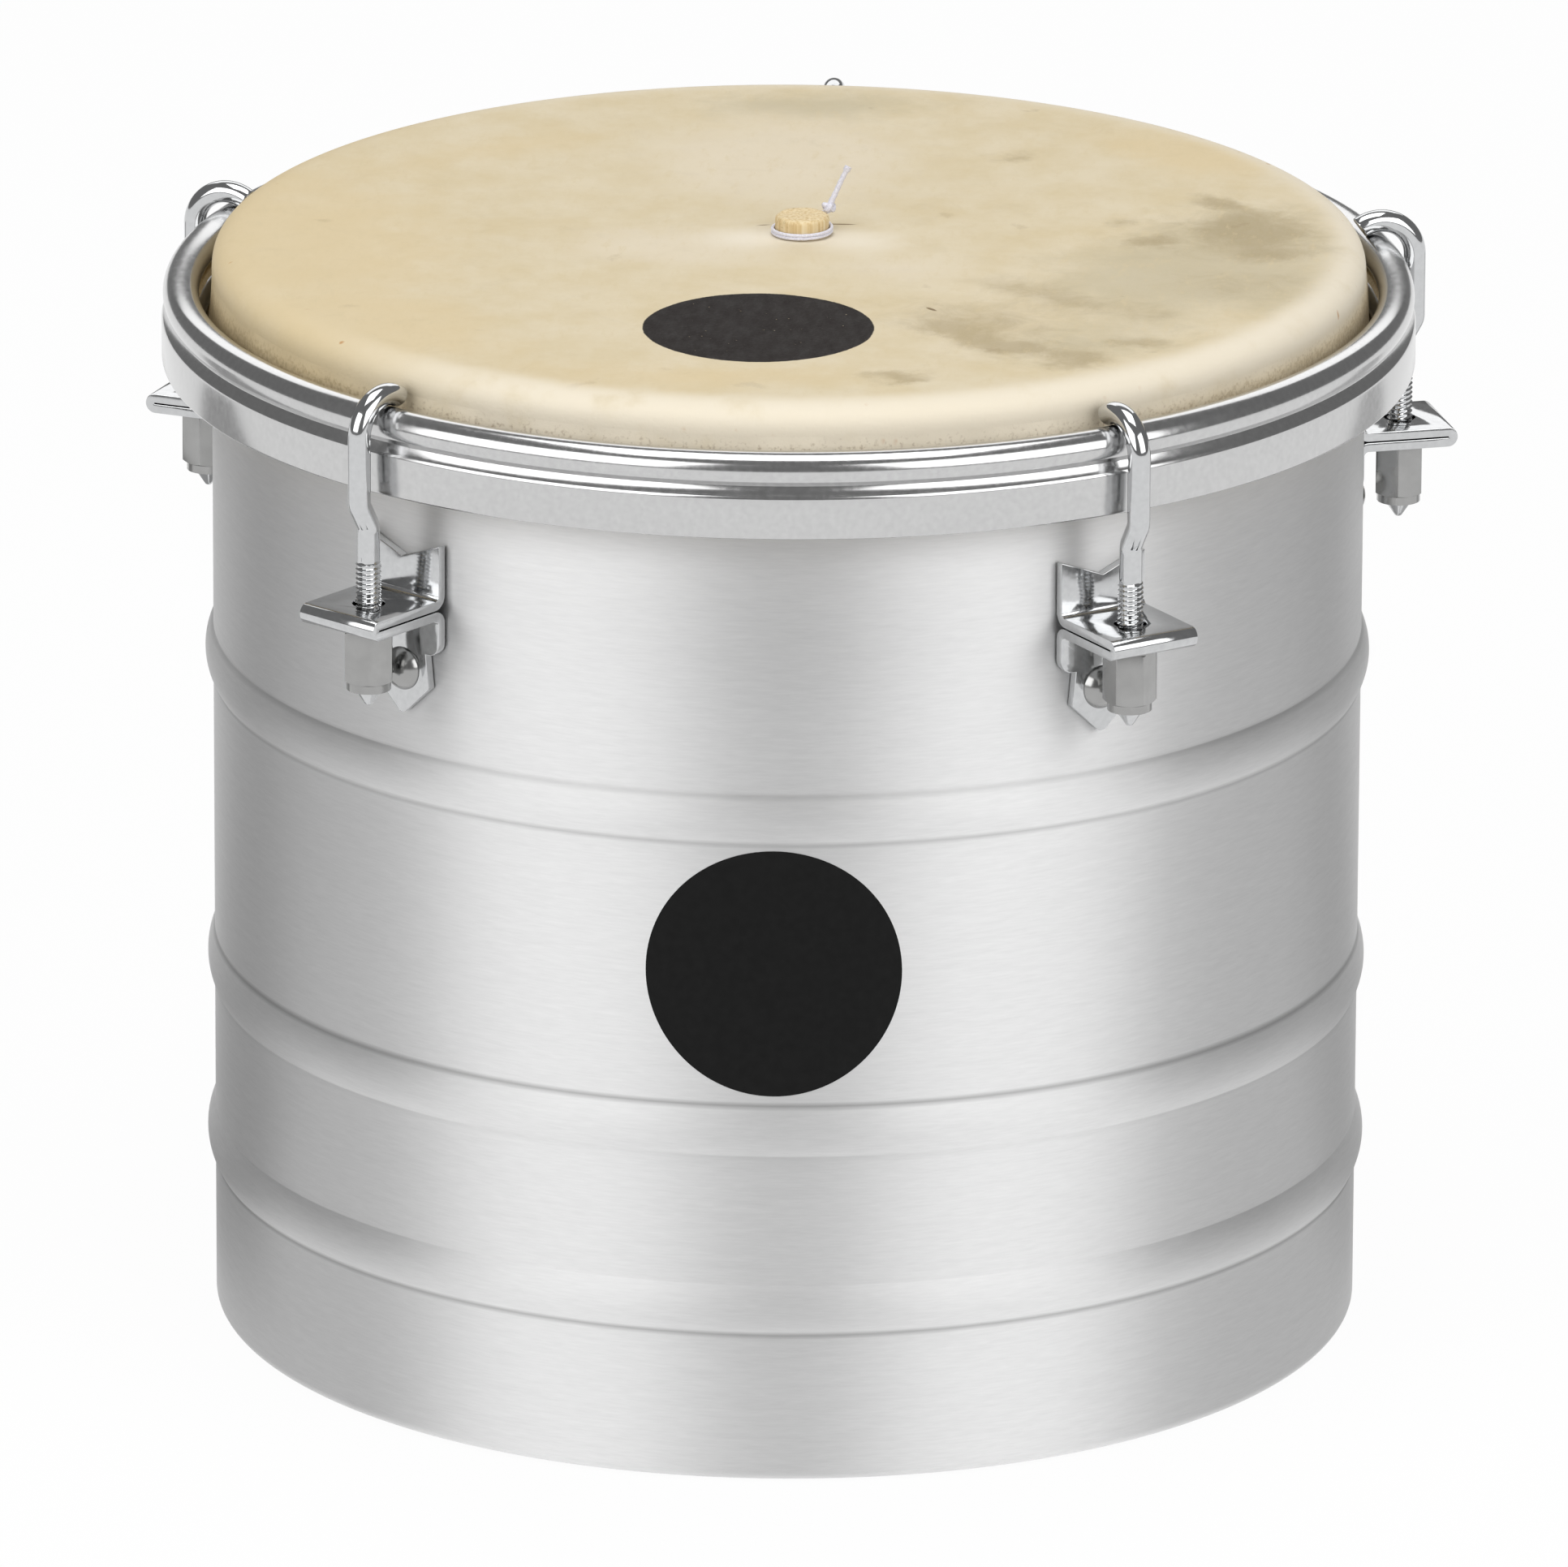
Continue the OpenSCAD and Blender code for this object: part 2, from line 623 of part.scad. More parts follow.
shell();
bearing_edge();
goatskin_head();
goatskin_shoulder();
goatskin_centre();
goatskin_collar();
goatskin_tuck();
flesh_hoop();
counter_hoop_rod();
counter_hoop_band();
bamboo_stick();
upper_binding();
lower_binding();
for (i = lugs) {
    tension_hook(i);
    tuning_nut(i);
    washer(i);
    lug_bracket(i);
    bracket_bolt(i);
    inner_washer(i);
    inner_nut(i);
}
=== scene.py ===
from math import acos, asin, atan, atan2, cos, hypot, pi, radians, sin, sqrt

import bmesh
import bpy
from mathutils import Matrix, Vector, noise


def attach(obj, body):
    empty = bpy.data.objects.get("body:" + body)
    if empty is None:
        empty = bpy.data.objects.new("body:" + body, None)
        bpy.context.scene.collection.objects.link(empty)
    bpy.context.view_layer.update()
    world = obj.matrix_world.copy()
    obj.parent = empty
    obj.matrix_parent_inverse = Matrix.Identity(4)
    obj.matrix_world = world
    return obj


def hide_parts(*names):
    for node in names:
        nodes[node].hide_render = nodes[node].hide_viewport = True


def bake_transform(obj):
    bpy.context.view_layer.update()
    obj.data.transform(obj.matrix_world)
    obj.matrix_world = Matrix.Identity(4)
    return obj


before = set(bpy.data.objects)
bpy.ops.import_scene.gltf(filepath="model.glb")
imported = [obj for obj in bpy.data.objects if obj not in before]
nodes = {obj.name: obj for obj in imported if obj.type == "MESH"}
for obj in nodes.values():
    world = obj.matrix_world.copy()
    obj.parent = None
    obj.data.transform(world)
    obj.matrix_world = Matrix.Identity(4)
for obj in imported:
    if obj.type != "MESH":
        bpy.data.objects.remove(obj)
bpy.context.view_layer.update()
scene = bpy.context.scene
scene.view_settings.view_transform = "Standard"

mm = 0.001
lugs = range(1, 6)
lugTurn = {i: radians(72 * (i - 0.5) - 90) for i in lugs}  # a lug's place round the drum
stickSpot = Vector((2.8, 0.2, 0))  # where the stick was tied in, just off the drum's axis


# ---- helpers for shapes; pieces are drawn in millimetres and scaled once at the end

def linear(code):  # an sRGB hex colour as linear RGBA
    parts = [int(code[i:i + 2], 16) / 255 for i in (1, 3, 5)]
    return tuple(c / 12.92 if c <= 0.04045 else ((c + 0.055) / 1.055) ** 2.4 for c in parts) + (1.0,)


def lineTo(bm, pen, x, z, steps=1):  # draws a straight run in the upright plane and returns its last point
    start = pen.co.copy()
    for k in range(1, steps + 1):
        pen = bmesh.ops.extrude_vert_indiv(bm, verts=[pen])["verts"][0]
        pen.co = start.lerp(Vector((x, 0, z)), k / steps)
    return pen


def arcTo(bm, pen, x, z, degrees, steps):  # draws an arc round (x, z), anticlockwise for a positive turn
    made = bmesh.ops.spin(bm, geom=[pen], cent=(x, 0, z), axis=(0, -1, 0), angle=radians(degrees), steps=steps)
    return [g for g in made["geom_last"] if isinstance(g, bmesh.types.BMVert)][0]


def spinRound(bm, steps, centre=(0, 0, 0)):  # turns an outline once round an upright axis
    bmesh.ops.spin(bm, geom=bm.verts[:] + bm.edges[:], cent=centre, axis=(0, 0, 1), angle=2 * pi, steps=steps,
                   use_merge=True)
    bmesh.ops.remove_doubles(bm, verts=bm.verts, dist=1e-4)


def faceOutwards(bm, looksOut):  # for open sheets: looksOut says if a face looks the right way
    bmesh.ops.recalc_face_normals(bm, faces=bm.faces)
    biggest = max(bm.faces, key=lambda f: f.calc_area())
    if not looksOut(biggest):
        bmesh.ops.reverse_faces(bm, faces=bm.faces)


def awayFromAxis(face):
    middle = face.calc_center_median()
    return face.normal.x * middle.x + face.normal.y * middle.y > 0


def outline(bm, points, rounding=None):  # a closed outline in the upright plane, with chosen corners rounded
    pen = first = bm.verts.new((points[0][0], 0, points[0][1]))
    corners = [first]
    for x, z in points[1:]:
        pen = lineTo(bm, pen, x, z)
        corners.append(pen)
    bm.edges.new((pen, first))
    face = bmesh.ops.contextual_create(bm, geom=bm.edges[:])["faces"]
    for index, radius in (rounding or {}).items():
        bmesh.ops.bevel(bm, geom=[corners[index]], offset=radius, offset_type="OFFSET", segments=3, profile=0.5,
                        affect="VERTICES", material=-1)
    bmesh.ops.delete(bm, geom=bm.faces[:], context="FACES_ONLY")


def ring(bm, centre, radius, sides):  # a level ring of points, the end of a rod
    made = bmesh.ops.create_circle(bm, segments=sides, radius=radius, matrix=Matrix.Translation(centre))
    return list({e for v in made["verts"] for e in v.link_edges})


def pull(bm, loop, move):  # extrudes a ring of edges and returns the new ring
    made = bmesh.ops.extrude_edge_only(bm, edges=loop)["geom"]
    points = {g for g in made if isinstance(g, bmesh.types.BMVert)}
    bmesh.ops.translate(bm, vec=move, verts=list(points))
    return [g for g in made if isinstance(g, bmesh.types.BMEdge) and set(g.verts) <= points]


def bend(bm, loop, x, z, degrees, steps):  # carries a ring of edges round a bend in the upright plane
    made = bmesh.ops.spin(bm, geom=loop + list({v for e in loop for v in e.verts}), cent=(x, 0, z), axis=(0, -1, 0),
                          angle=radians(degrees), steps=steps)
    return [g for g in made["geom_last"] if isinstance(g, bmesh.types.BMEdge)]


def pointsOf(loop):
    return list({v for e in loop for v in e.verts})


def finishPiece(bm, name, body, material, replaced=(), sharpAngle=35):
    bmesh.ops.scale(bm, vec=(mm, mm, mm), verts=bm.verts)
    mesh = bpy.data.meshes.new(name)
    bm.to_mesh(mesh)
    bm.free()
    mesh.materials.append(material)
    mesh.shade_smooth()
    mesh.set_sharp_from_angle(angle=radians(sharpAngle))
    piece = bpy.data.objects.new(name, mesh)
    scene.collection.objects.link(piece)
    if body:
        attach(piece, body)
    if replaced:
        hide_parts(*replaced)
    return piece


# ---- one helper for materials

def addNode(tree, kind, inputs=None, ramp=None, **settings):
    node = tree.nodes.new("ShaderNode" + kind)
    for name, value in settings.items():
        setattr(node, name, value)
    if ramp:
        while len(node.color_ramp.elements) < len(ramp):
            node.color_ramp.elements.new(0.5)
        for element, (place, colour) in zip(node.color_ramp.elements, ramp):
            element.position, element.color = place, colour
    for key, value in (inputs or {}).items():
        if isinstance(value, bpy.types.NodeSocket):
            tree.links.new(value, node.inputs[key])
        else:
            node.inputs[key].default_value = value
    return node


def newMaterial(name):
    material = bpy.data.materials.new(name)
    material.use_nodes = True
    return material, material.node_tree, material.node_tree.nodes["Principled BSDF"]


# ---- camera, at the photograph's angle

view = {"aside": 4.2, "above": 18.1, "distance": 4.353, "target": (0, 0, 0.12), "lens": 457.66, "roll": 0.254,
        "shift": (-3.4 / 1932, -19.3 / 1932)}


def addCamera():
    data = bpy.data.cameras.new("camera")
    data.lens, data.sensor_width = view["lens"], 36
    data.shift_x, data.shift_y = view["shift"]
    camera = bpy.data.objects.new("camera", data)
    scene.collection.objects.link(camera)
    aside, above = radians(view["aside"]), radians(view["above"])
    away = Vector((cos(above) * sin(aside), -cos(above) * cos(aside), sin(above)))
    camera.location = Vector(view["target"]) + away * view["distance"]
    turn = (-away).to_track_quat("-Z", "Y").to_matrix() @ Matrix.Rotation(radians(view["roll"]), 3, "Z")
    camera.rotation_euler = turn.to_euler()
    scene.camera = camera


addCamera()
print("camera placed")


# ---- materials

# Sheet aluminium, spun and then brushed round the drum with an abrasive belt: its lights are drawn out up and
# down, across fine level lines. Real lines are about 0.1 mm apart; they are drawn at 0.4 and 1.1 mm to show.
def brushedAluminium():
    material, tree, shader = newMaterial("spun_brushed_aluminium")
    place = addNode(tree, "TexCoord").outputs["Object"]
    fine = addNode(tree, "Mapping", {"Vector": place, "Scale": (260, 260, 2400)})
    wide = addNode(tree, "Mapping", {"Vector": place, "Scale": (100, 100, 900)})
    fineLines = addNode(tree, "TexNoise", {"Vector": fine.outputs[0], "Scale": 1.0, "Detail": 3.0})
    wideLines = addNode(tree, "TexNoise", {"Vector": wide.outputs[0], "Scale": 1.0, "Detail": 2.0})
    lines = addNode(tree, "Mix", {0: 0.45, 2: fineLines.outputs["Fac"], 3: wideLines.outputs["Fac"]})
    tone = addNode(tree, "ValToRGB", {"Fac": lines.outputs[0]},
                   ramp=[(0.3, linear("#E6E6E6")), (0.7, linear("#EEEEEE"))])
    # Painted shade: thin dark lines in the base colour along the creases under and over each bead.
    unshaded = (1, 1, 1, 1)
    stops = [(0, unshaded)]
    for height, half, rise in shellWall["beads"]:
        for crease, creaseShade in zip((height - half, height + half), shellWall["creaseShade"]):
            stops += [((crease + step * shellWall["creaseShadeWidth"]) / 250, unshaded if step else linear(creaseShade))
                      for step in (-1, 0, 1)]
    upright = addNode(tree, "SeparateXYZ", {0: place}).outputs[2]
    share = addNode(tree, "MapRange", {"Value": upright, "From Min": 0.0, "From Max": 250 * mm}).outputs[0]
    creases = addNode(tree, "ValToRGB", {"Fac": share}, ramp=stops)
    plate = addNode(tree, "Mix", {0: 1.0, 6: tone.outputs[0], 7: creases.outputs[0]}, data_type="RGBA",
                    blend_type="MULTIPLY").outputs[2]
    rough = addNode(tree, "MapRange", {"Value": lines.outputs[0], "From Min": 0.3, "From Max": 0.7, "To Min": 0.59,
                                       "To Max": 0.61})
    bump = addNode(tree, "Bump", {"Height": lines.outputs[0], "Strength": 0.03, "Distance": 0.00005})
    radial = addNode(tree, "Tangent", direction_type="RADIAL", axis="Z")
    shader.inputs["Metallic"].default_value = 1
    shader.inputs["Anisotropic"].default_value = 0.85
    shader.inputs["Anisotropic Rotation"].default_value = 0.25
    tree.links.new(radial.outputs[0], shader.inputs["Tangent"])
    tree.links.new(plate, shader.inputs["Base Color"])
    tree.links.new(rough.outputs[0], shader.inputs["Roughness"])
    tree.links.new(bump.outputs[0], shader.inputs["Normal"])
    return material


# Steel with polished chrome plate: sharp bright and dark reflections that waver a little over its hand-polished
# surface.
def polishedChrome(name, dark, light, roughness, waver, grain):
    material, tree, shader = newMaterial(name)
    place = addNode(tree, "TexCoord").outputs["Object"]
    waves = addNode(tree, "TexNoise", {"Vector": place, "Scale": grain, "Detail": 2.0})
    haze = addNode(tree, "TexNoise", {"Vector": place, "Scale": 700.0, "Detail": 4.0})
    rough = addNode(tree, "MapRange", {"Value": haze.outputs["Fac"], "From Min": 0.35, "From Max": 0.75,
                                       "To Min": roughness, "To Max": roughness + 0.05})
    tone = addNode(tree, "ValToRGB", {"Fac": haze.outputs["Fac"]},
                   ramp=[(0.3, linear(dark)), (0.8, linear(light))])
    bump = addNode(tree, "Bump", {"Height": waves.outputs["Fac"], "Strength": waver, "Distance": 0.0006})
    shader.inputs["Metallic"].default_value = 1
    tree.links.new(tone.outputs[0], shader.inputs["Base Color"])
    tree.links.new(rough.outputs[0], shader.inputs["Roughness"])
    tree.links.new(bump.outputs[0], shader.inputs["Normal"])
    return material


# Machined steel with bright zinc plate: soft grey lights and a slight mottling of the plate.
def zincPlate():
    material, tree, shader = newMaterial("bright_zinc_plated_steel")
    place = addNode(tree, "TexCoord").outputs["Object"]
    mottle = addNode(tree, "TexNoise", {"Vector": place, "Scale": 260.0, "Detail": 2.0})
    tone = addNode(tree, "ValToRGB", {"Fac": mottle.outputs["Fac"]},
                   ramp=[(0.3, linear("#9E9E9D")), (0.75, linear("#A8A8A7"))])
    rough = addNode(tree, "MapRange", {"Value": mottle.outputs["Fac"], "From Min": 0.3, "From Max": 0.7,
                                       "To Min": 0.17, "To Max": 0.23})
    bump = addNode(tree, "Bump", {"Height": mottle.outputs["Fac"], "Strength": 0.1, "Distance": 0.0001})
    shader.inputs["Metallic"].default_value = 1
    tree.links.new(tone.outputs[0], shader.inputs["Base Color"])
    tree.links.new(rough.outputs[0], shader.inputs["Roughness"])
    tree.links.new(bump.outputs[0], shader.inputs["Normal"])
    return material


# Goat rawhide, limed, scraped and dried on the hoop: cream, waxy and matt. It is tan where the fat lay, greyer to the
# right, clouded brown where the hair was dark, and speckled with hair roots where it turns down to the hoop. Over the
# edge its colour is whiter, partly from stretching and partly as painted sheen, and round the stick a painted highlight
# is laid in its colour, with some whitening where it is pulled up. Places and sizes are in mm from the drum's axis.
skinLook = {"cream": "#D8CBAF", "mottle": "#D1C19E", "tan": "#D6C39C", "grey": "#BDB296", "rose": "#DCD0B9",
            "cloud": "#A08F6C", "stretchAndHighlight": "#E6DDCB", "root": "#7E6238", "fleck": "#B98347", "nick": "#6B5330",
            "ink": "#170F0B", "inkSpot": (-1.5, -68.3), "inkRadius": 24.7,
            "tanAreas": ((-105, -13, 50, 95, 12, 0.9), (-74, -81, 45, 30, -36, 0.6), (81, 72, 20, 34, 39, 0.9),
                         (-65, 65, 45, 26, 34, 0.5), (-12, -106, 60, 18, 4, 0.6)),
            "greyAreas": ((90, -21, 52, 42, 29, 1.0), (-2, 102, 40, 20, 4, 0.7), (99, 22, 30, 30, 4, 0.6),
                          (68, -73, 38, 24, 24, 0.6)),
            "roseAreas": ((-6, 58, 44, 54, 4, 0.9), (-23, -10, 40, 22, 4, 0.8), (26, -22, 26, 18, 4, 0.6)),
            "clouds": ((46, -60, 28, 22, -20, 0.75), (97, 12, 32, 28, 30, 0.65), (93, 35, 15, 5, -38, 1.1),
                       (100, 15, 17, 13, 64, 0.9), (104, -2, 13, 10, 4, 0.7),
                       (78, 1, 7, 7, 4, 1.0), (72, 16, 6, 5, 4, 0.6), (53, -32, 17, 9, -16, 0.7),
                       (63, -42, 16, 10, -16, 0.6), (38, -65, 12, 7, -31, 0.8), (48, -73, 14, 8, -31, 0.7),
                       (56, -79, 18, 9, -11, 0.9), (67, -86, 11, 8, 4, 0.8), (79, -72, 11, 6, 24, 0.9),
                       (80, -49, 10, 8, 4, 0.6), (31, -100, 12, 6, 14, 1.1), (42, 67, 8, 6, 44, 0.8),
                       (99, -27, 20, 16, 4, 0.5)),
            # painted highlight round the stick, with some whitening where the skin is pulled up to it
            "pullHighlights": ((-10, -4, 15, 13, 4, 1.0), (16, -5, 17, 15, 4, 1.0), (3, 0, 16, 15, 4, 0.5)),
            "nicks": ((10.4, 8.2, 4.5, 0.55, 4, 1.4), (-6.0, 6.1, 2.5, 0.5, 14, 0.7),
                      (34.4, -51.9, 2.2, 0.7, -46, 1.2))}


def oval(tree, place, x, y, across, along, turn):  # 1 at the middle of an oval, falling evenly to 0 at its rim
    inside = addNode(tree, "Mapping", {"Vector": place, "Location": (x * mm, y * mm, 0),
                                       "Rotation": (0, 0, radians(turn)),
                                       "Scale": (across * mm, along * mm, 1)}, vector_type="TEXTURE")
    return addNode(tree, "TexGradient", {"Vector": inside.outputs[0]}, gradient_type="SPHERICAL").outputs["Fac"]


def areas(tree, place, listed):  # the sum of some ovals, each with its own strength
    total = 0.0
    for x, y, across, along, turn, strength in listed:
        share = oval(tree, place, x, y, across, along, turn)
        total = addNode(tree, "Math", {0: share, 1: strength, 2: total}, operation="MULTIPLY_ADD").outputs[0]
    return total


# Each row makes one value from the values before it: "range" rises smoothly from 0 to its last number as the value
# goes from the second to the third, and the others are sums named as Blender names them.
skinRows = (
    ("mingled", "MULTIPLY_ADD", "blotch", 1.0, "wisp"),
    ("tanShare", "MULTIPLY_ADD", "mingled", 0.35, "tanAreas"), ("tanMask", "range", "tanShare", 0.45, 1.0, 0.75),
    ("greyShare", "MULTIPLY_ADD", "mingled", 0.35, "greyAreas"), ("greyMask", "range", "greyShare", 0.45, 1.0, 0.7),
    ("roseShare", "MULTIPLY_ADD", "mingled", 0.35, "roseAreas"), ("roseMask", "range", "roseShare", 0.45, 1.0, 0.8),
    ("cloudShare", "MULTIPLY_ADD", "wisp", 1.2, "clouds"), ("cloudMask", "range", "cloudShare", 0.55, 1.7, 0.6),
    ("cloudCore", "range", "cloudShare", 0.85, 1.5, 1.0), ("cloudHairs", "range", "fibre", 0.4, 0.72, 0.25),
    ("cloudFibres", "MULTIPLY", "cloudCore", "cloudHairs"), ("fibreMask", "range", "fibre", 0.52, 0.74, 0.5),
    ("dot", "DIVIDE", "distance", "dotSize"), ("rootDot", "MULTIPLY_ADD", "grain", 0.1, "dot"),
    ("rootMask", "range", "rootDot", 0.2, 0.08, 0.16),
    # The edge rows make the whiter band over the edge: partly skin whitened by stretching, partly painted sheen.
    ("edge", "range", "radius", 0.1145, 0.1225, 1.0), ("across", "MULTIPLY_ADD", "blotch", 0.03, "x"),
    ("rightward", "range", "across", -0.09, -0.03, 1.0), ("white", "MULTIPLY", "edge", "rightward"),
    ("whiteBlotch", "range", "blotch", 0.15, 0.5, 0.85), ("whiteMask", "MULTIPLY", "white", "whiteBlotch"),
    ("leftward", "range", "across", -0.04, -0.1, 0.5), ("leftMask", "MULTIPLY", "edge", "leftward"),
    # painted highlight round the stick, laid in as whiter colour
    ("pullHighlightMask", "range", "pullHighlights", 0.05, 1.1, 0.8),
    ("low", "range", "z", 0.2362, 0.2305, 1.0), ("aside", "ABSOLUTE", "x"),
    ("sides", "range", "aside", 0.05, 0.12, 1.0),
    ("lowSides", "MULTIPLY", "low", "sides"), ("lowRoots", "MULTIPLY_ADD", "low", 0.14, "roots"),
    ("speckle", "MULTIPLY_ADD", "lowSides", 0.12, "lowRoots"), ("speckled", "range", "speckle", 0.62, 0.9, 0.5),
    ("speckleMask", "MULTIPLY", "low", "speckled"), ("lowTan", "MULTIPLY", "lowSides", 0.55),
    ("fleckShare", "MULTIPLY_ADD", "roots", 0.12, "fleck"), ("flecked", "range", "fleckShare", 0.2, 0.1, 0.75),
    ("fleckEdge", "MULTIPLY", "edge", "flecked"), ("fleckBlotch", "range", "blotch", 0.5, 0.62, 1.0),
    ("fleckMask", "MULTIPLY", "fleckEdge", "fleckBlotch"), ("nickMask", "range", "nicks", 0.1, 0.6, 0.8),
    ("inkGrain", "MULTIPLY_ADD", "coarse", 1.0, "grain"), ("inkEdge", "MULTIPLY_ADD", "inkGrain", 0.006, "spot"),
    ("printed", "range", "inkEdge", 0.503, 0.509, 1.0), ("inkWear", "MULTIPLY_ADD", "fibre", 0.5, "grain"),
    ("worn", "range", "inkWear", 0.98, 1.08, 0.75), ("unworn", "SUBTRACT", 1.0, "worn"),
    ("inkMask", "MULTIPLY", "printed", "unworn"), ("relief", "MULTIPLY_ADD", "fibre", 1.6, "grain"))
skinLayers = (("tan", "tanMask"), ("grey", "greyMask"), ("rose", "roseMask"), ("cloud", "cloudMask"),
              # The whiter layers over the edge and round the stick hold painted sheen and a painted highlight as well
              # as stretch whitening.
              ("cloud", "cloudFibres"), ("mottle", "fibreMask"), ("root", "rootMask"), ("stretchAndHighlight", "whiteMask"),
              ("tan", "leftMask"), ("stretchAndHighlight", "pullHighlightMask"), ("root", "speckleMask"), ("tan", "lowTan"),
              ("fleck", "fleckMask"), ("nick", "nickMask"), ("ink", "inkMask"))


def goatRawhide():
    material, tree, shader = newMaterial("goat_rawhide")
    place = addNode(tree, "TexCoord").outputs["Object"]
    flat = addNode(tree, "Mapping", {"Vector": place, "Scale": (1, 1, 0)}).outputs[0]
    axes = addNode(tree, "SeparateXYZ", {0: place})
    drift = addNode(tree, "TexNoise", {"Vector": flat, "Scale": 55.0, "Detail": 6.0, "Roughness": 0.62})
    shifted = addNode(tree, "VectorMath", {0: drift.outputs["Color"], 1: (0.022, 0.022, 0), 2: (-0.011, -0.011, 0)},
                      operation="MULTIPLY_ADD").outputs[0]
    wandering = addNode(tree, "VectorMath", {0: flat, 1: shifted}, operation="ADD").outputs[0]
    alongHairs = addNode(tree, "Mapping", {"Vector": place, "Rotation": (0, 0, 0.35),
                                           "Scale": (1, 0.35, 1)}).outputs[0]
    dots = addNode(tree, "TexVoronoi", {"Vector": wandering, "Scale": 1000 / 17, "Randomness": 1.0})
    streaks = addNode(tree, "Mapping", {"Vector": place, "Rotation": (0, -0.6, 0),
                                        "Scale": (1000 / 5.5, 1000 / 5.5, 1000 / 9)})
    flecks = addNode(tree, "TexVoronoi", {"Vector": streaks.outputs[0], "Scale": 1.0, "Randomness": 1.0})
    spotX, spotY = skinLook["inkSpot"]
    spotWidth = skinLook["inkRadius"] * 2
    values = {"x": axes.outputs[0], "z": axes.outputs[2], "distance": dots.outputs["Distance"],
              "radius": addNode(tree, "VectorMath", {0: flat}, operation="LENGTH").outputs["Value"],
              "dotSize": addNode(tree, "SeparateColor", {0: dots.outputs["Color"]}).outputs[0],
              "fleck": flecks.outputs["Distance"], "spot": oval(tree, flat, spotX, spotY, spotWidth, spotWidth, 0)}
    for name, where, size, detail, roughness, distortion in (
            ("blotch", place, 14, 5, 0.6, 0), ("wisp", place, 9, 8, 0.68, 0.8),
            ("fibre", alongHairs, 2.6, 5, 0.7, 0), ("grain", place, 0.8, 3, 0.5, 0),
            ("roots", place, 0.9, 2, 0.6, 0), ("coarse", place, 2.5, 3, 0.5, 0)):
        values[name] = addNode(tree, "TexNoise", {"Vector": where, "Scale": 1000 / size, "Detail": detail,
                                                  "Roughness": roughness, "Distortion": distortion}).outputs["Fac"]
    for name in ("tanAreas", "greyAreas", "roseAreas", "clouds", "pullHighlights", "nicks"):
        values[name] = areas(tree, flat if name in ("pullHighlights", "nicks") else wandering, skinLook[name])
    for name, kind, *given in skinRows:
        given = [values[part] if isinstance(part, str) else part for part in given]
        if kind == "range":
            made = addNode(tree, "MapRange", dict(zip(("Value", "From Min", "From Max", "To Max"), given)),
                           interpolation_type="SMOOTHSTEP")
        else:
            made = addNode(tree, "Math", dict(enumerate(given)), operation=kind)
        values[name] = made.outputs[0]

    tone = addNode(tree, "ValToRGB", {"Fac": values["blotch"]},
                   ramp=[(0.35, linear(skinLook["cream"])), (0.68, linear(skinLook["mottle"]))]).outputs[0]
    for colour, mask in skinLayers:
        tone = addNode(tree, "Mix", {0: values[mask], 6: tone, 7: linear(skinLook[colour])},
                       data_type="RGBA").outputs[2]
    rough = addNode(tree, "MapRange", {"Value": values["fibre"], "From Min": 0.3, "From Max": 0.7, "To Min": 0.5,
                                       "To Max": 0.66})
    bump = addNode(tree, "Bump", {"Height": values["relief"], "Strength": 0.25, "Distance": 0.00018})
    shader.inputs["Specular IOR Level"].default_value = 0.13
    tree.links.new(tone, shader.inputs["Base Color"])
    tree.links.new(rough.outputs[0], shader.inputs["Roughness"])
    tree.links.new(bump.outputs[0], shader.inputs["Normal"])
    return material


# Split bamboo, scraped round and sawn off: straw to tan, with straight fibres and a dotted, cracked end.
def scrapedBamboo():
    material, tree, shader = newMaterial("scraped_bamboo")
    place = addNode(tree, "TexCoord").outputs["Object"]
    along = addNode(tree, "Mapping", {"Vector": place, "Scale": (1600, 1600, 40)})
    fibres = addNode(tree, "TexNoise", {"Vector": along.outputs[0], "Scale": 1.0, "Detail": 4.0})
    tone = addNode(tree, "ValToRGB", {"Fac": fibres.outputs["Fac"]},
                   ramp=[(0.25, linear("#C2A470")), (0.5, linear("#DBC497")), (0.75, linear("#E6D8B6"))]).outputs[0]
    weathered = addNode(tree, "TexNoise", {"Vector": place, "Scale": 420.0, "Detail": 6.0, "Roughness": 0.7,
                                           "Distortion": 1.5})
    mask = addNode(tree, "MapRange", {"Value": weathered.outputs["Fac"], "From Min": 0.56, "From Max": 0.7,
                                      "To Max": 0.6}, interpolation_type="SMOOTHSTEP").outputs[0]
    tone = addNode(tree, "Mix", {0: mask, 6: tone, 7: linear("#8F7748")}, data_type="RGBA").outputs[2]
    bump = addNode(tree, "Bump", {"Height": fibres.outputs["Fac"], "Strength": 0.4, "Distance": 0.0003})
    shader.inputs["Roughness"].default_value = 0.6
    tree.links.new(tone, shader.inputs["Base Color"])
    tree.links.new(bump.outputs[0], shader.inputs["Normal"])
    return material


# White nylon cord, twisted from two plies and sealed with a flame at its end: cool white, with a faint sheen.
def nylonThread():
    material, tree, shader = newMaterial("twisted_nylon_thread")
    place = addNode(tree, "TexCoord").outputs["Object"]
    hairs = addNode(tree, "TexNoise", {"Vector": place, "Scale": 2600.0, "Detail": 3.0})
    tone = addNode(tree, "ValToRGB", {"Fac": hairs.outputs["Fac"]},
                   ramp=[(0.3, linear("#CCCBD8")), (0.7, linear("#E6E5EE"))])
    bump = addNode(tree, "Bump", {"Height": hairs.outputs["Fac"], "Strength": 0.25, "Distance": 0.0002})
    shader.inputs["Roughness"].default_value = 0.45
    shader.inputs["Sheen Weight"].default_value = 0.2
    tree.links.new(tone.outputs[0], shader.inputs["Base Color"])
    tree.links.new(bump.outputs[0], shader.inputs["Normal"])
    return material


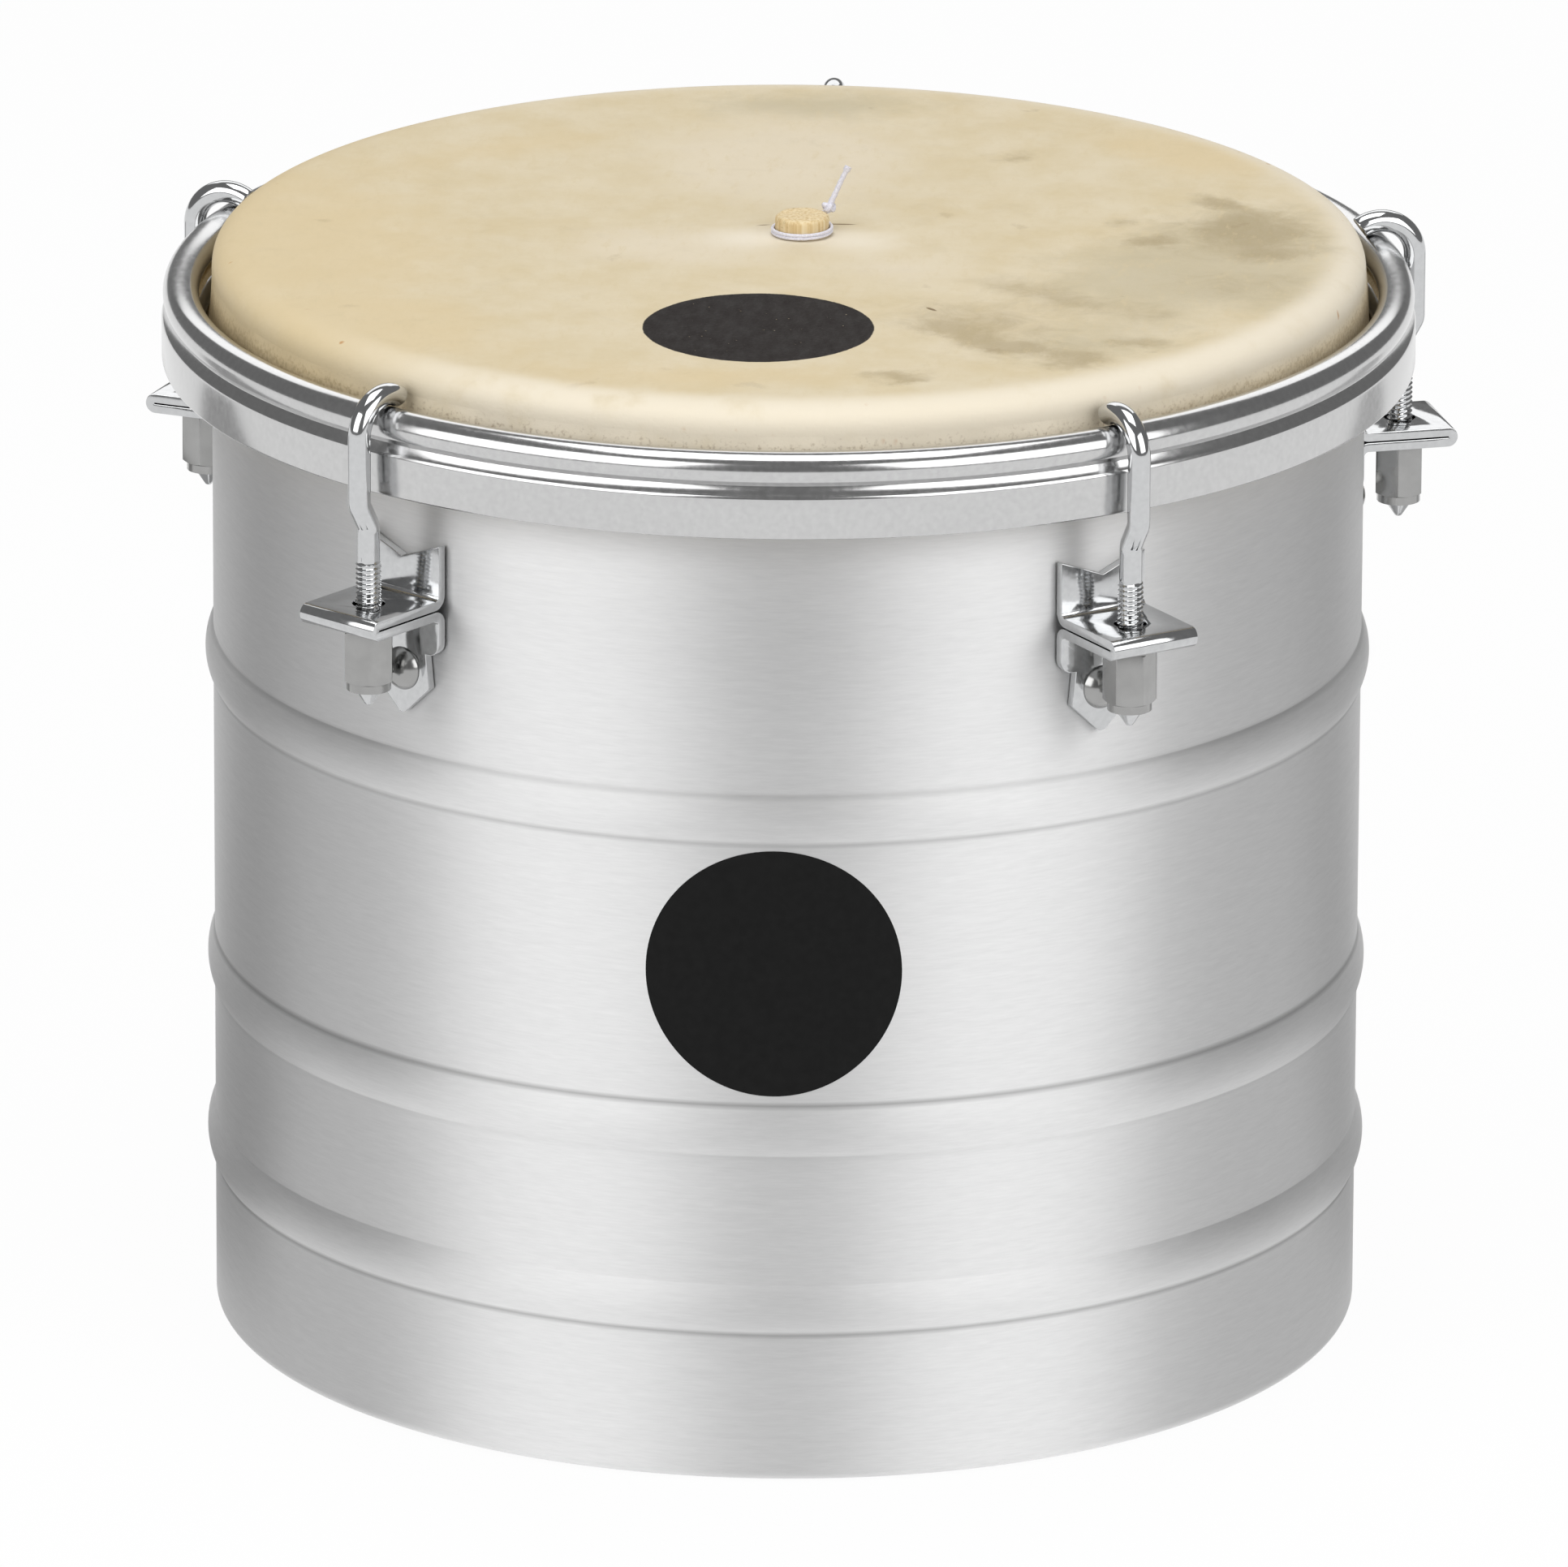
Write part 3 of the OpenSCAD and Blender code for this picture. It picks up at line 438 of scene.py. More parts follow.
# Screen-printed black ink on the metal: dense, with a low gloss.
def printedInk():
    material, tree, shader = newMaterial("screen_printed_ink")
    place = addNode(tree, "TexCoord").outputs["Object"]
    film = addNode(tree, "TexNoise", {"Vector": place, "Scale": 500.0, "Detail": 3.0})
    tone = addNode(tree, "ValToRGB", {"Fac": film.outputs["Fac"]},
                   ramp=[(0.3, linear("#101010")), (0.7, linear("#151515"))])
    shader.inputs["Roughness"].default_value = 0.5
    shader.inputs["Specular IOR Level"].default_value = 0.12
    tree.links.new(tone.outputs[0], shader.inputs["Base Color"])
    return material


hoopChrome = polishedChrome("chrome_plated_hoop", "#C6C6C6", "#CFCFCF", 0.15, 0.03, 60)
chrome = polishedChrome("polished_chrome", "#C6C7C8", "#CECFD0", 0.07, 0.06, 90)
bracketChrome = polishedChrome("chrome_plated_strip", "#C2C3C4", "#CDCECF", 0.09, 0.08, 160)
zinc = zincPlate()
rawhide = goatRawhide()
bamboo = scrapedBamboo()
thread = nylonThread()
ink = printedInk()
print("materials made")


# ---- the spun shell: foot, three rolled beads and the rolled bearing edge, as one wall

shellWall = {"radius": 125, "wall": 1.5, "footInner": 118, "footBend": 2, "crease": 0.4,
             "beads": ((38.8, 5.65, 1.7), (79.2, 5.6, 1.5), (149, 5.6, 1.75)),  # height, half its width, rise
             "taper": (221.2, 229.2), "lip": 234.7, "inset": 0.8, "roll": 5.2, "rollPast": 40,
             "creaseShadeWidth": 0.4, "creaseShade": ("#CCCCCC", "#A6A6A6")}  # painted shade in the creases under and over each bead
aluminium = brushedAluminium()


def beadTo(bm, pen, height, half, rise):  # draws one bead from crease to crease, with the wall left plain beside it
    s = shellWall
    radius = (half * half + rise * rise) / (2 * rise)
    centre = s["radius"] + rise - radius
    reach = s["radius"] + s["crease"] - centre
    apart = sqrt((radius + s["crease"]) ** 2 - reach ** 2)
    lean = 90 - asin(reach / (radius + s["crease"])) * 180 / pi
    for gap in (2.5, 0.3, 0):
        pen = lineTo(bm, pen, s["radius"], height - apart - gap)
    pen = arcTo(bm, pen, s["radius"] + s["crease"], height - apart, -lean, 4)
    pen = arcTo(bm, pen, centre, height, 2 * lean, 16)
    pen = arcTo(bm, pen, s["radius"] + s["crease"], height + apart, -lean, 4)
    for gap in (0.3, 2.5):
        pen = lineTo(bm, pen, s["radius"], height + apart + gap)
    return pen


def addShell():
    s = shellWall
    bm = bmesh.new()
    pen = bm.verts.new((s["footInner"], 0, 0))
    pen = lineTo(bm, pen, s["radius"] - s["footBend"] - 0.3, 0, 2)
    pen = lineTo(bm, pen, s["radius"] - s["footBend"], 0)
    pen = arcTo(bm, pen, s["radius"] - s["footBend"], s["footBend"], 90, 8)
    for z in (2.3, 5):
        pen = lineTo(bm, pen, s["radius"], z)
    for bead in s["beads"]:
        pen = beadTo(bm, pen, *bead)
    edge = s["radius"] - s["inset"]
    pen = lineTo(bm, pen, s["radius"], s["taper"][0])
    pen = lineTo(bm, pen, edge, s["taper"][1], 4)
    pen = lineTo(bm, pen, edge, s["lip"], 2)
    pen = arcTo(bm, pen, edge - s["roll"], s["lip"], 90 + s["rollPast"], 16)
    spinRound(bm, 256)
    faceOutwards(bm, awayFromAxis)
    bmesh.ops.solidify(bm, geom=bm.faces[:], thickness=s["wall"])
    return finishPiece(bm, "drum_shell", "shell_body", aluminium, ("shell", "bearing_edge"))


addShell()
print("shell spun")


# ---- the goatskin: top, underside, collar and the rim tucked round the flesh hoop

skinForm = {"crest": 115.5, "edgeZ": 234.16, "reach": 9.5, "drop": 6.6, "fullness": 2.85, "hole": 5.85,
            "thickness": 0.8, "rise": 1.0, "flexFrom": 25, "flexTo": 100, "waver": 0.14}


def skinHeight(r):  # the skin's rise from the crest of the edge to the stick
    s = skinForm
    u = min(max((s["crest"] - r) / (s["crest"] - s["hole"]), 0), 1)
    return s["rise"] * (0.75 * u ** 1.3 + 0.25 * u ** 6)


def shapeSkin(bm):  # lifts the middle to the stick, draws it aside to where the stick is tied, and lets it waver
    s = skinForm
    for v in bm.verts:
        r = hypot(v.co.x, v.co.y)
        if r > s["crest"] + 0.01:
            continue
        share = min(max((s["flexTo"] - r) / (s["flexTo"] - s["flexFrom"]), 0), 1)
        share = share * share * (3 - 2 * share)
        edge = min((s["crest"] - r) / 20, 1) * min((r - s["hole"]) / 10 + 0.2, 1)
        slow, quick = (noise.noise(Vector((v.co.x / size, v.co.y / size, seed))) for size, seed in ((28, 3.7), (11, 9.1)))
        waver = slow + 0.4 * quick
        v.co.z += skinHeight(r) + s["waver"] * edge * waver
        v.co += stickSpot * share


def skinSheet(name, drop, reach):
    s = skinForm
    bm = bmesh.new()
    top = s["edgeZ"] + s["drop"] - drop
    pen = bm.verts.new((s["hole"], 0, top))
    for r in (6.4, 7.2, 8.4, 10, 12.5, 15, 18, 21, 25):
        pen = lineTo(bm, pen, r, top)
    pen = lineTo(bm, pen, s["crest"] - 2, top, 34)
    pen = lineTo(bm, pen, s["crest"], top)
    if reach:
        for k in range(1, 25):  # the shoulder turns down over the edge, fuller than a round
            turn, power = pi / 2 * (1 - k / 24), 2 / s["fullness"]
            pen = lineTo(bm, pen, s["crest"] + s["reach"] * cos(turn) ** power,
                         s["edgeZ"] + s["drop"] * sin(turn) ** power)
    spinRound(bm, 256)
    shapeSkin(bm)
    faceOutwards(bm, lambda face: (face.normal.z > 0) == (drop == 0))
    piece = finishPiece(bm, name, None, rawhide, ())
    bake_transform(piece)
    return piece


skinTop = skinSheet("goatskin_top", 0, True)
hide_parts("goatskin_head", "goatskin_shoulder", "goatskin_centre")
skinSheet("goatskin_underside", skinForm["thickness"], False)

collar = {"top": (125.0, 234.16), "foot": (125.9, 221.6), "pleat": 0.75, "tuckRadius": 3.85,
          "tuckRing": (129.75, 221.6)}


def pleat(turn, seed):  # folds of uneven width round the rim
    p = Vector((cos(turn) * 7, sin(turn) * 7, seed))
    return noise.noise(p * 1.3) * 0.5 + noise.noise(p * 3.1) * 0.5 + noise.noise(p * 0.5) * 0.4


def addCollar():
    bm = bmesh.new()
    pen = bm.verts.new((collar["top"][0], 0, collar["top"][1]))
    lineTo(bm, pen, collar["foot"][0], collar["foot"][1], 10)
    spinRound(bm, 480)
    for v in bm.verts:
        down = min(max((collar["top"][1] - v.co.z) / (collar["top"][1] - collar["foot"][1]), 0), 1)
        swell = max(pleat(atan2(v.co.y, v.co.x), 1.3), -0.2) * collar["pleat"] * max(sin(pi * down), 0) ** 0.7 * 1.3
        r = hypot(v.co.x, v.co.y)
        v.co.x *= (r + swell) / r
        v.co.y *= (r + swell) / r
    faceOutwards(bm, awayFromAxis)
    piece = finishPiece(bm, "goatskin_collar_folds", None, rawhide, (), 60)
    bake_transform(piece)
    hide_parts("goatskin_collar")


def addTuck():
    x, z = collar["tuckRing"]
    bm = bmesh.new()
    pen = bm.verts.new((x - collar["tuckRadius"], 0, z + 1.6))
    pen = lineTo(bm, pen, x - collar["tuckRadius"], z)
    pen = arcTo(bm, pen, x, z, 285, 30)
    lineTo(bm, pen, x - 2.2, z + 1.2, 2)
    spinRound(bm, 480)
    for v in bm.verts:
        turn = atan2(v.co.y, v.co.x)
        r = hypot(v.co.x, v.co.y)
        out = Vector((r - x, 0, v.co.z - z))
        if out.length > 0.01 and r > x - 3.7:
            out *= 1 - 0.09 * max(pleat(turn, 4.1) + 0.25, 0)
        v.co = Vector(((x + out.x) * cos(turn), (x + out.x) * sin(turn), z + out.z))
    bmesh.ops.recalc_face_normals(bm, faces=bm.faces)
    outer = max(bm.faces, key=lambda f: hypot(f.calc_center_median().x, f.calc_center_median().y))
    if not awayFromAxis(outer):
        bmesh.ops.reverse_faces(bm, faces=bm.faces)
    finishPiece(bm, "goatskin_rim", "hoop", rawhide, ("goatskin_tuck",), 60)


addCollar()
addTuck()
print("goatskin made")


# ---- the counter hoop: a round rod welded on a flat band

hoop = {"rodRing": 131.7, "rodZ": 229.152, "rodRadius": 3.9, "bandIn": 133.9, "bandOut": 135.9, "bandLow": 214.75,
        "lean": 224.05, "leanIn": 1.8, "weldTop": 226.252}


def addHoop():
    h = hoop
    bm = bmesh.new()
    bmesh.ops.create_circle(bm, segments=40, radius=h["rodRadius"],
                            matrix=Matrix.Translation((h["rodRing"], 0, h["rodZ"])) @ Matrix.Rotation(pi / 2, 4, "X"))
    spinRound(bm, 256)
    bmesh.ops.recalc_face_normals(bm, faces=bm.faces)
    finishPiece(bm, "hoop_rod", "hoop", hoopChrome, ("counter_hoop_rod",))
    bm = bmesh.new()
    weld = h["bandOut"] - h["leanIn"]
    outline(bm, [(h["bandIn"], h["bandLow"]), (h["bandOut"], h["bandLow"]), (h["bandOut"], h["lean"]),
                 (weld, h["lean"] + h["leanIn"]), (weld, h["weldTop"]), (weld - 1, h["weldTop"]),
                 (weld - 1, h["lean"] + 2.2), (h["bandIn"], h["lean"] + 1)],
            {0: 0.4, 1: 0.6, 2: 0.5})
    spinRound(bm, 256)
    bmesh.ops.recalc_face_normals(bm, faces=bm.faces)
    finishPiece(bm, "hoop_band", "hoop", hoopChrome, ("counter_hoop_band",), 50)


addHoop()
print("hoop made")


# ---- the tension hooks: bent over the hoop, joggled in, pressed flat and threaded

hook = {"radius": 2.435, "bend": (132.626, 227.829), "bendRadius": 8.0, "wrap": 125, "joggle": (214.05, 207.35),
        "joggleIn": 2.9, "joggleRadius": 3, "flat": 2.25, "threadTop": 200.5, "threadLow": 171.2, "threadRadius": 2.78,
        "rootRadius": 2.13, "pitch": 1.0583, "endZ": 168.2, "endRadius": 0.8, "sides": 32}


def threadOn(bm, axis, steps=24):  # a rolled screw thread as one winding surface that fades out at its top
    h = hook
    pen = bm.verts.new((h["rootRadius"], 0, 0))
    made = [pen]
    for r, rise in ((h["threadRadius"] - 0.08, 0.4), (h["threadRadius"], 0.5), (h["threadRadius"] - 0.08, 0.6),
                    (h["rootRadius"], 1)):
        pen = lineTo(bm, pen, r, rise * h["pitch"])
        made.append(pen)
    edges = list({e for v in made for e in v.link_edges})
    turns = int((h["threadTop"] - h["threadLow"]) / h["pitch"]) + 1
    bmesh.ops.spin(bm, geom=made + edges, cent=(0, 0, 0), axis=(0, 0, 1), dvec=(0, 0, h["pitch"] / steps),
                   angle=2 * pi * turns, steps=steps * turns)
    bmesh.ops.remove_doubles(bm, verts=bm.verts, dist=0.01)
    bmesh.ops.translate(bm, vec=(0, 0, h["threadLow"] - 0.6), verts=bm.verts)
    for v in bm.verts:
        r = hypot(v.co.x, v.co.y)
        keep = min(max((h["threadTop"] + 0.2 - v.co.z) / 1.1, 0.0), 1)
        least = h["rootRadius"] + 0.15 * (1 - keep)
        scale = (least + (r - h["rootRadius"]) * keep) / r
        v.co.x, v.co.y = axis + v.co.x * scale, v.co.y * scale
    bmesh.ops.bisect_plane(bm, geom=bm.verts[:] + bm.edges[:] + bm.faces[:], plane_co=(0, 0, h["threadLow"]),
                           plane_no=(0, 0, -1), clear_outer=True)
    bmesh.ops.recalc_face_normals(bm, faces=bm.faces)
    widest = max(bm.faces, key=lambda f: f.calc_area())
    middle = widest.calc_center_median()
    if widest.normal.x * (middle.x - axis) + widest.normal.y * middle.y < 0:
        bmesh.ops.reverse_faces(bm, faces=bm.faces)


def addHook(i):
    h = hook
    legX = h["bend"][0] + h["bendRadius"]
    holeX = legX - h["joggleIn"]
    bm = bmesh.new()
    start = ring(bm, (legX, 0, h["bend"][1]), h["radius"], h["sides"])
    tip = bend(bm, start, h["bend"][0], h["bend"][1], h["wrap"], 28)
    cap = bmesh.ops.edgeloop_fill(bm, edges=tip)["faces"]
    bmesh.ops.bevel(bm, geom=tip, offset=0.35, offset_type="OFFSET", segments=3, profile=0.5, affect="EDGES", material=-1)
    loop = start
    for z in (h["bend"][1] - 4, h["joggle"][0] + 3, h["joggle"][0]):
        loop = pull(bm, loop, (0, 0, z - sum(v.co.z for v in pointsOf(loop)) / h["sides"]))
    drop, apart = h["joggle"][0] - h["joggle"][1], 2 * h["joggleRadius"] - h["joggleIn"]
    span = hypot(apart, drop)
    turn = asin(2 * h["joggleRadius"] / span) - atan(apart / drop)
    run = sqrt(span ** 2 - 4 * h["joggleRadius"] ** 2)
    loop = bend(bm, loop, legX - h["joggleRadius"], h["joggle"][0], -turn * 180 / pi, 6)
    loop = pull(bm, loop, (-run * sin(turn), 0, -run * cos(turn)))
    loop = bend(bm, loop, holeX + h["joggleRadius"], h["joggle"][1], turn * 180 / pi, 6)
    for z, flat in ((h["joggle"][1] - 0.4, h["radius"]), (h["joggle"][1] - 0.8, h["flat"]), (h["threadTop"] + 0.3, h["flat"]),
                    (h["threadTop"] - 0.4, h["rootRadius"] + 0.15)):
        now = sum(v.co.z for v in pointsOf(loop)) / h["sides"]
        loop = pull(bm, loop, (0, 0, z - now))
        for v in pointsOf(loop):
            v.co.x = holeX + min(max(v.co.x - holeX, -flat), flat)
            v.co.y = min(max(v.co.y, -flat), flat)
    low = pull(bm, loop, (0, 0, h["threadLow"] + 0.5 - (h["threadTop"] - 0.4)))
    bmesh.ops.edgeloop_fill(bm, edges=low)
    bmesh.ops.recalc_face_normals(bm, faces=bm.faces)
    wound = bmesh.new()
    threadOn(wound, holeX)
    spare = bpy.data.meshes.new("spare")
    wound.to_mesh(spare)
    bm.from_mesh(spare)
    wound.free()
    cone = bmesh.new()
    pen = cone.verts.new((0.0001, 0, h["endZ"]))
    pen = lineTo(cone, pen, h["endRadius"] - 0.2, h["endZ"])
    pen = lineTo(cone, pen, h["endRadius"], h["endZ"] + 0.15)
    pen = lineTo(cone, pen, h["threadRadius"] - 0.1, h["threadLow"] - 0.05, 4)
    pen = lineTo(cone, pen, h["threadRadius"] - 0.15, h["threadLow"] + 0.2)
    pen = lineTo(cone, pen, 0.0001, h["threadLow"] + 0.3)
    spinRound(cone, 32)
    bmesh.ops.recalc_face_normals(cone, faces=cone.faces)
    bmesh.ops.translate(cone, vec=(holeX, 0, 0), verts=cone.verts)
    cone.to_mesh(spare)
    bm.from_mesh(spare)
    cone.free()
    bpy.data.meshes.remove(spare)
    bmesh.ops.rotate(bm, cent=(0, 0, 0), matrix=Matrix.Rotation(lugTurn[i], 3, "Z"), verts=bm.verts)
    finishPiece(bm, f"hook_rod_{i}", "hoop", chrome, (f"tension_hook_{i}",), 40)


for i in lugs:
    addHook(i)
print("hooks bent and threaded")


# ---- brackets, nuts, washers and bolts: the CAD shapes with their edges eased

fittings = {"lug_bracket": ("shell_body", bracketChrome, "chrome", 0.35), "tuning_nut": (None, zinc, "zinc_plate", 0.22),
            "washer": ("shell_body", zinc, "zinc_plate", 0.2), "bracket_bolt": ("shell_body", zinc, "zinc_plate", 0.2),
            "inner_washer": ("shell_body", zinc, "zinc_plate", 0.15), "inner_nut": ("shell_body", zinc, "zinc_plate", 0.15)}


def easedCopy(node, body, material, easing):
    bm = bmesh.new()
    bm.from_mesh(nodes[node].data)
    bmesh.ops.scale(bm, vec=(1000, 1000, 1000), verts=bm.verts)
    bmesh.ops.remove_doubles(bm, verts=bm.verts, dist=0.001)
    bmesh.ops.dissolve_limit(bm, angle_limit=radians(0.4), verts=bm.verts, edges=bm.edges)
    sharp = [e for e in bm.edges if e.is_manifold and e.calc_face_angle() > radians(28)]
    bmesh.ops.bevel(bm, geom=sharp, offset=easing, offset_type="OFFSET", segments=2, profile=0.5, affect="EDGES",
                    clamp_overlap=True, material=-1)
    return finishPiece(bm, node + "_eased", body, material, (node,), 30)


for kind, (body, material, slot, easing) in fittings.items():
    for i in lugs:
        easedCopy(f"{kind}_{i}", body or f"nut_{i}", material, easing)
for node, material in (("flesh_hoop", zinc),):
    nodes[node].data.materials.clear()
    nodes[node].data.materials.append(material)
print("fittings eased")


# ---- the bamboo stick

stick = {"radius": 5.8, "top": 246.2, "low": 50.2, "joint": 142.2, "jointRise": 0.5, "knobs": 0.22}


def addStick():
    s = stick
    bm = bmesh.new()
    pen = bm.verts.new((0.0001, 0, s["low"]))
    pen = lineTo(bm, pen, s["radius"] - 0.7, s["low"], 4)
    pen = arcTo(bm, pen, s["radius"] - 0.7, s["low"] + 0.7, 90, 4)
    pen = lineTo(bm, pen, s["radius"], s["joint"] - 2.5, 20)
    for k in range(1, 9):
        pen = lineTo(bm, pen, s["radius"] + s["jointRise"] * sin(pi * k / 8), s["joint"] - 2.5 + 5 * k / 8)
    pen = lineTo(bm, pen, s["radius"], s["top"] - 8, 20)
    pen = lineTo(bm, pen, s["radius"], s["top"] - 1, 14)
    pen = arcTo(bm, pen, s["radius"] - 1, s["top"] - 1, 90, 5)
    pen = lineTo(bm, pen, 0.0001, s["top"], 8)
    spinRound(bm, 72)
    bmesh.ops.recalc_face_normals(bm, faces=bm.faces)
    for v in bm.verts:
        r, turn = hypot(v.co.x, v.co.y), atan2(v.co.y, v.co.x)
        side = noise.noise(Vector((cos(turn) * 2.2, sin(turn) * 2.2, v.co.z / 9)))
        scale = 1 + 0.02 * side * min(r / 3, 1)
        v.co.x, v.co.y = v.co.x * scale, v.co.y * scale
        if v.co.z > s["top"] - 1.2:
            v.co.z += 0.25 * noise.noise(Vector((v.co.x / 2.4, v.co.y / 2.4, 5))) - 0.1
    bmesh.ops.translate(bm, vec=stickSpot, verts=bm.verts)
    finishPiece(bm, "bamboo_rod", "stick", bamboo, ("bamboo_stick",), 50)


addStick()
print("stick made")


# ---- the thread: wound round the stick above and below the skin, knotted, with a free end

threads = {"crown": 241.7, "turnRadius": 6.4, "radius": 0.37, "turns": 2.15, "knot": (5.4, 5.15, 4.6), "knotSize": 0.74,
           "tail": ((5.4, 5.15, 4.6), (6.1, 5.35, 6.2), (6.9, 5.7, 7.9), (8.1, 6.15, 10.6), (9.5, 6.7, 13.4)),
           "tailRadius": 0.56, "underRadius": 0.6, "underTurns": 2.1}


def sweep(bm, route, radii, sides=10, twist=2.2):  # lays a two-ply thread along a route of points
    loop = ring(bm, (0, 0, 0), 1, sides)
    order = pointsOf(loop)
    order.sort(key=lambda v: atan2(v.co.y, v.co.x))
    last = len(route) - 1
    across = Vector((0.3, 0.2, 1))
    travelled = 0
    for k, point in enumerate(route):
        ahead = (route[min(k + 1, last)] - route[max(k - 1, 0)]).normalized()
        across = (across - ahead * across.dot(ahead)).normalized()
        side = ahead.cross(across)
        if k:
            travelled += (point - route[k - 1]).length
            made = bmesh.ops.extrude_edge_only(bm, edges=loop)["geom"]
            fresh = {g for g in made if isinstance(g, bmesh.types.BMVert)}
            loop = [g for g in made if isinstance(g, bmesh.types.BMEdge) and set(g.verts) <= fresh]
            order = [next(e.other_vert(v) for e in v.link_edges if e.other_vert(v) in fresh) for v in order]
        for j, v in enumerate(order):
            a = 2 * pi * j / sides
            r = radii(k / last) * (0.9 + 0.16 * abs(cos(a - travelled * twist)))
            v.co = point + (across * cos(a) + side * sin(a)) * r
        if k in (0, last):
            bmesh.ops.edgeloop_fill(bm, edges=loop)
    bmesh.ops.recalc_face_normals(bm, faces=bm.faces)


def smoothRoute(points, steps):  # a smooth curve through the given points
    points = [Vector(p) for p in points]
    ends = [points[0] * 2 - points[1]] + points + [points[-1] * 2 - points[-2]]
    route = []
    for k in range(len(points) - 1):
        a, b, c, d = ends[k:k + 4]
        for j in range(steps):
            t = j / steps
            route.append(0.5 * (2 * b + (c - a) * t + (2 * a - 5 * b + 4 * c - d) * t * t + (3 * b - a - 3 * c + d) * t ** 3))
    return route + [points[-1]]


def coil(radius, threadRadius, turns, low, start):
    steps = int(48 * turns)
    rise = 2 * threadRadius * 0.94
    return [Vector((radius * cos(start + 2 * pi * turns * k / steps), radius * sin(start + 2 * pi * turns * k / steps),
                    low + threadRadius + rise * turns * k / steps)) for k in range(steps + 1)]


def joined(name, body, parts, replaced):
    whole = bmesh.new()
    spare = bpy.data.meshes.new("spare")
    for part in parts:
        part.to_mesh(spare)
        whole.from_mesh(spare)
        part.free()
    bpy.data.meshes.remove(spare)
    bmesh.ops.translate(whole, vec=stickSpot, verts=whole.verts)
    return finishPiece(whole, name, body, thread, replaced, 60)


def addThreads():
    t = threads
    top = Vector((0, 0, t["crown"]))
    wound, knot, tail, under = (bmesh.new() for _ in range(4))
    behind = radians(40)
    route = coil(t["turnRadius"], t["radius"], t["turns"], t["crown"] - 0.12, behind)
    up = smoothRoute([route[-1], route[-1] + Vector((-0.4, 0.5, 0.9)), top + Vector(t["knot"]) - Vector((0.3, 0.2, 1.0)),
                      top + Vector(t["knot"])], 6)
    sweep(wound, route + up[1:], lambda share: t["radius"])
    size = t["knotSize"]
    loops = [top + Vector(t["knot"]) + size * Vector((sin(a) + 2 * sin(2 * a), cos(a) - 2 * cos(2 * a), -1.4 * sin(3 * a))) * 0.5
             for a in (2 * pi * k / 60 for k in range(61))]
    sweep(knot, loops, lambda share: t["tailRadius"] * 1.05, 10, 2.2)
    sweep(tail, [top + p for p in smoothRoute(t["tail"], 8)],
          lambda share: t["tailRadius"] * (1 + 0.35 * (1 - share) ** 3 + (0.45 if share > 0.93 else 0)))
    joined("thread_above", "knotted_thread", [wound, knot, tail], ("upper_binding",))
    sweep(under, coil(t["turnRadius"] + 0.25, t["underRadius"], t["underTurns"],
                      t["crown"] - 0.85 - 2 * t["underRadius"] * t["underTurns"] - t["underRadius"], 0.5),
          lambda share: t["underRadius"])
    joined("thread_below", "skin_middle", [under], ("lower_binding",))


addThreads()
print("thread wound")


# ---- the plain printed disc on the shell's front

disc = {"radius": 27.5, "height": 114.7, "aside": 3.0, "film": 0.04}


def addDisc():
    d = disc
    bm = bmesh.new()
    pen = bm.verts.new((0.0001, 0, 0))
    lineTo(bm, pen, d["radius"], 0, 14)
    bmesh.ops.spin(bm, geom=bm.verts[:] + bm.edges[:], cent=(0, 0, 0), axis=(0, 1, 0), angle=2 * pi, steps=128,
                   use_merge=True)
    bmesh.ops.remove_doubles(bm, verts=bm.verts, dist=1e-3)
    around = shellWall["radius"] + d["film"]
    for v in bm.verts:
        turn = v.co.x / shellWall["radius"] + radians(d["aside"]) - pi / 2
        v.co = Vector((around * cos(turn), around * sin(turn), v.co.z + d["height"]))
    faceOutwards(bm, awayFromAxis)
    finishPiece(bm, "printed_disc", "shell_body", ink)


addDisc()
print("disc printed")


# ---- studio: pale floor, two softboxes at the front, one overhead

studio = {"floor": 12, "floorWhite": "#F0F0F0", "glow": 0.94, "world": 0.2,
          "softboxes": ((45, 26, 2.2, 2.0, 1.5, 23), (-45, 26, 2.2, 2.0, 1.5, 23), (180, 35, 2.4, 2.4, 1.2, 12)),
          "overhead": (2.2, 1.6, 24), "flags": ((-120, 0.14, 0.9, 0.2, 0.4), (126, 0.14, 0.9, 0.16, 0.55))}


def addFloor():
    bm = bmesh.new()
    bmesh.ops.create_grid(bm, x_segments=1, y_segments=1, size=studio["floor"] / 2)
    mesh = bpy.data.meshes.new("floor")
    bm.to_mesh(mesh)
    bm.free()
    floor = bpy.data.objects.new("floor", mesh)
    floor.location = (0, 0, -0.0002)
    scene.collection.objects.link(floor)
    material, tree, shader = newMaterial("white_paper_sweep")
    shader.inputs["Base Color"].default_value = linear(studio["floorWhite"])
    shader.inputs["Roughness"].default_value = 0.9
    shader.inputs["Specular IOR Level"].default_value = 0.1
    rays = addNode(tree, "LightPath")
    seen = addNode(tree, "Math", {0: rays.outputs["Is Camera Ray"], 1: rays.outputs["Is Glossy Ray"]},
                   operation="MAXIMUM")
    seen = addNode(tree, "Math", {0: seen.outputs[0], 1: rays.outputs["Is Transmission Ray"]}, operation="MAXIMUM")
    share = addNode(tree, "Math", {0: seen.outputs[0], 1: studio["glow"]}, operation="MULTIPLY")
    glow = addNode(tree, "Emission", {"Color": (1, 1, 1, 1), "Strength": 1.0})
    mixed = addNode(tree, "MixShader", {0: share.outputs[0], 1: shader.outputs[0], 2: glow.outputs[0]})
    tree.links.new(mixed.outputs[0], tree.nodes["Material Output"].inputs["Surface"])
    mesh.materials.append(material)


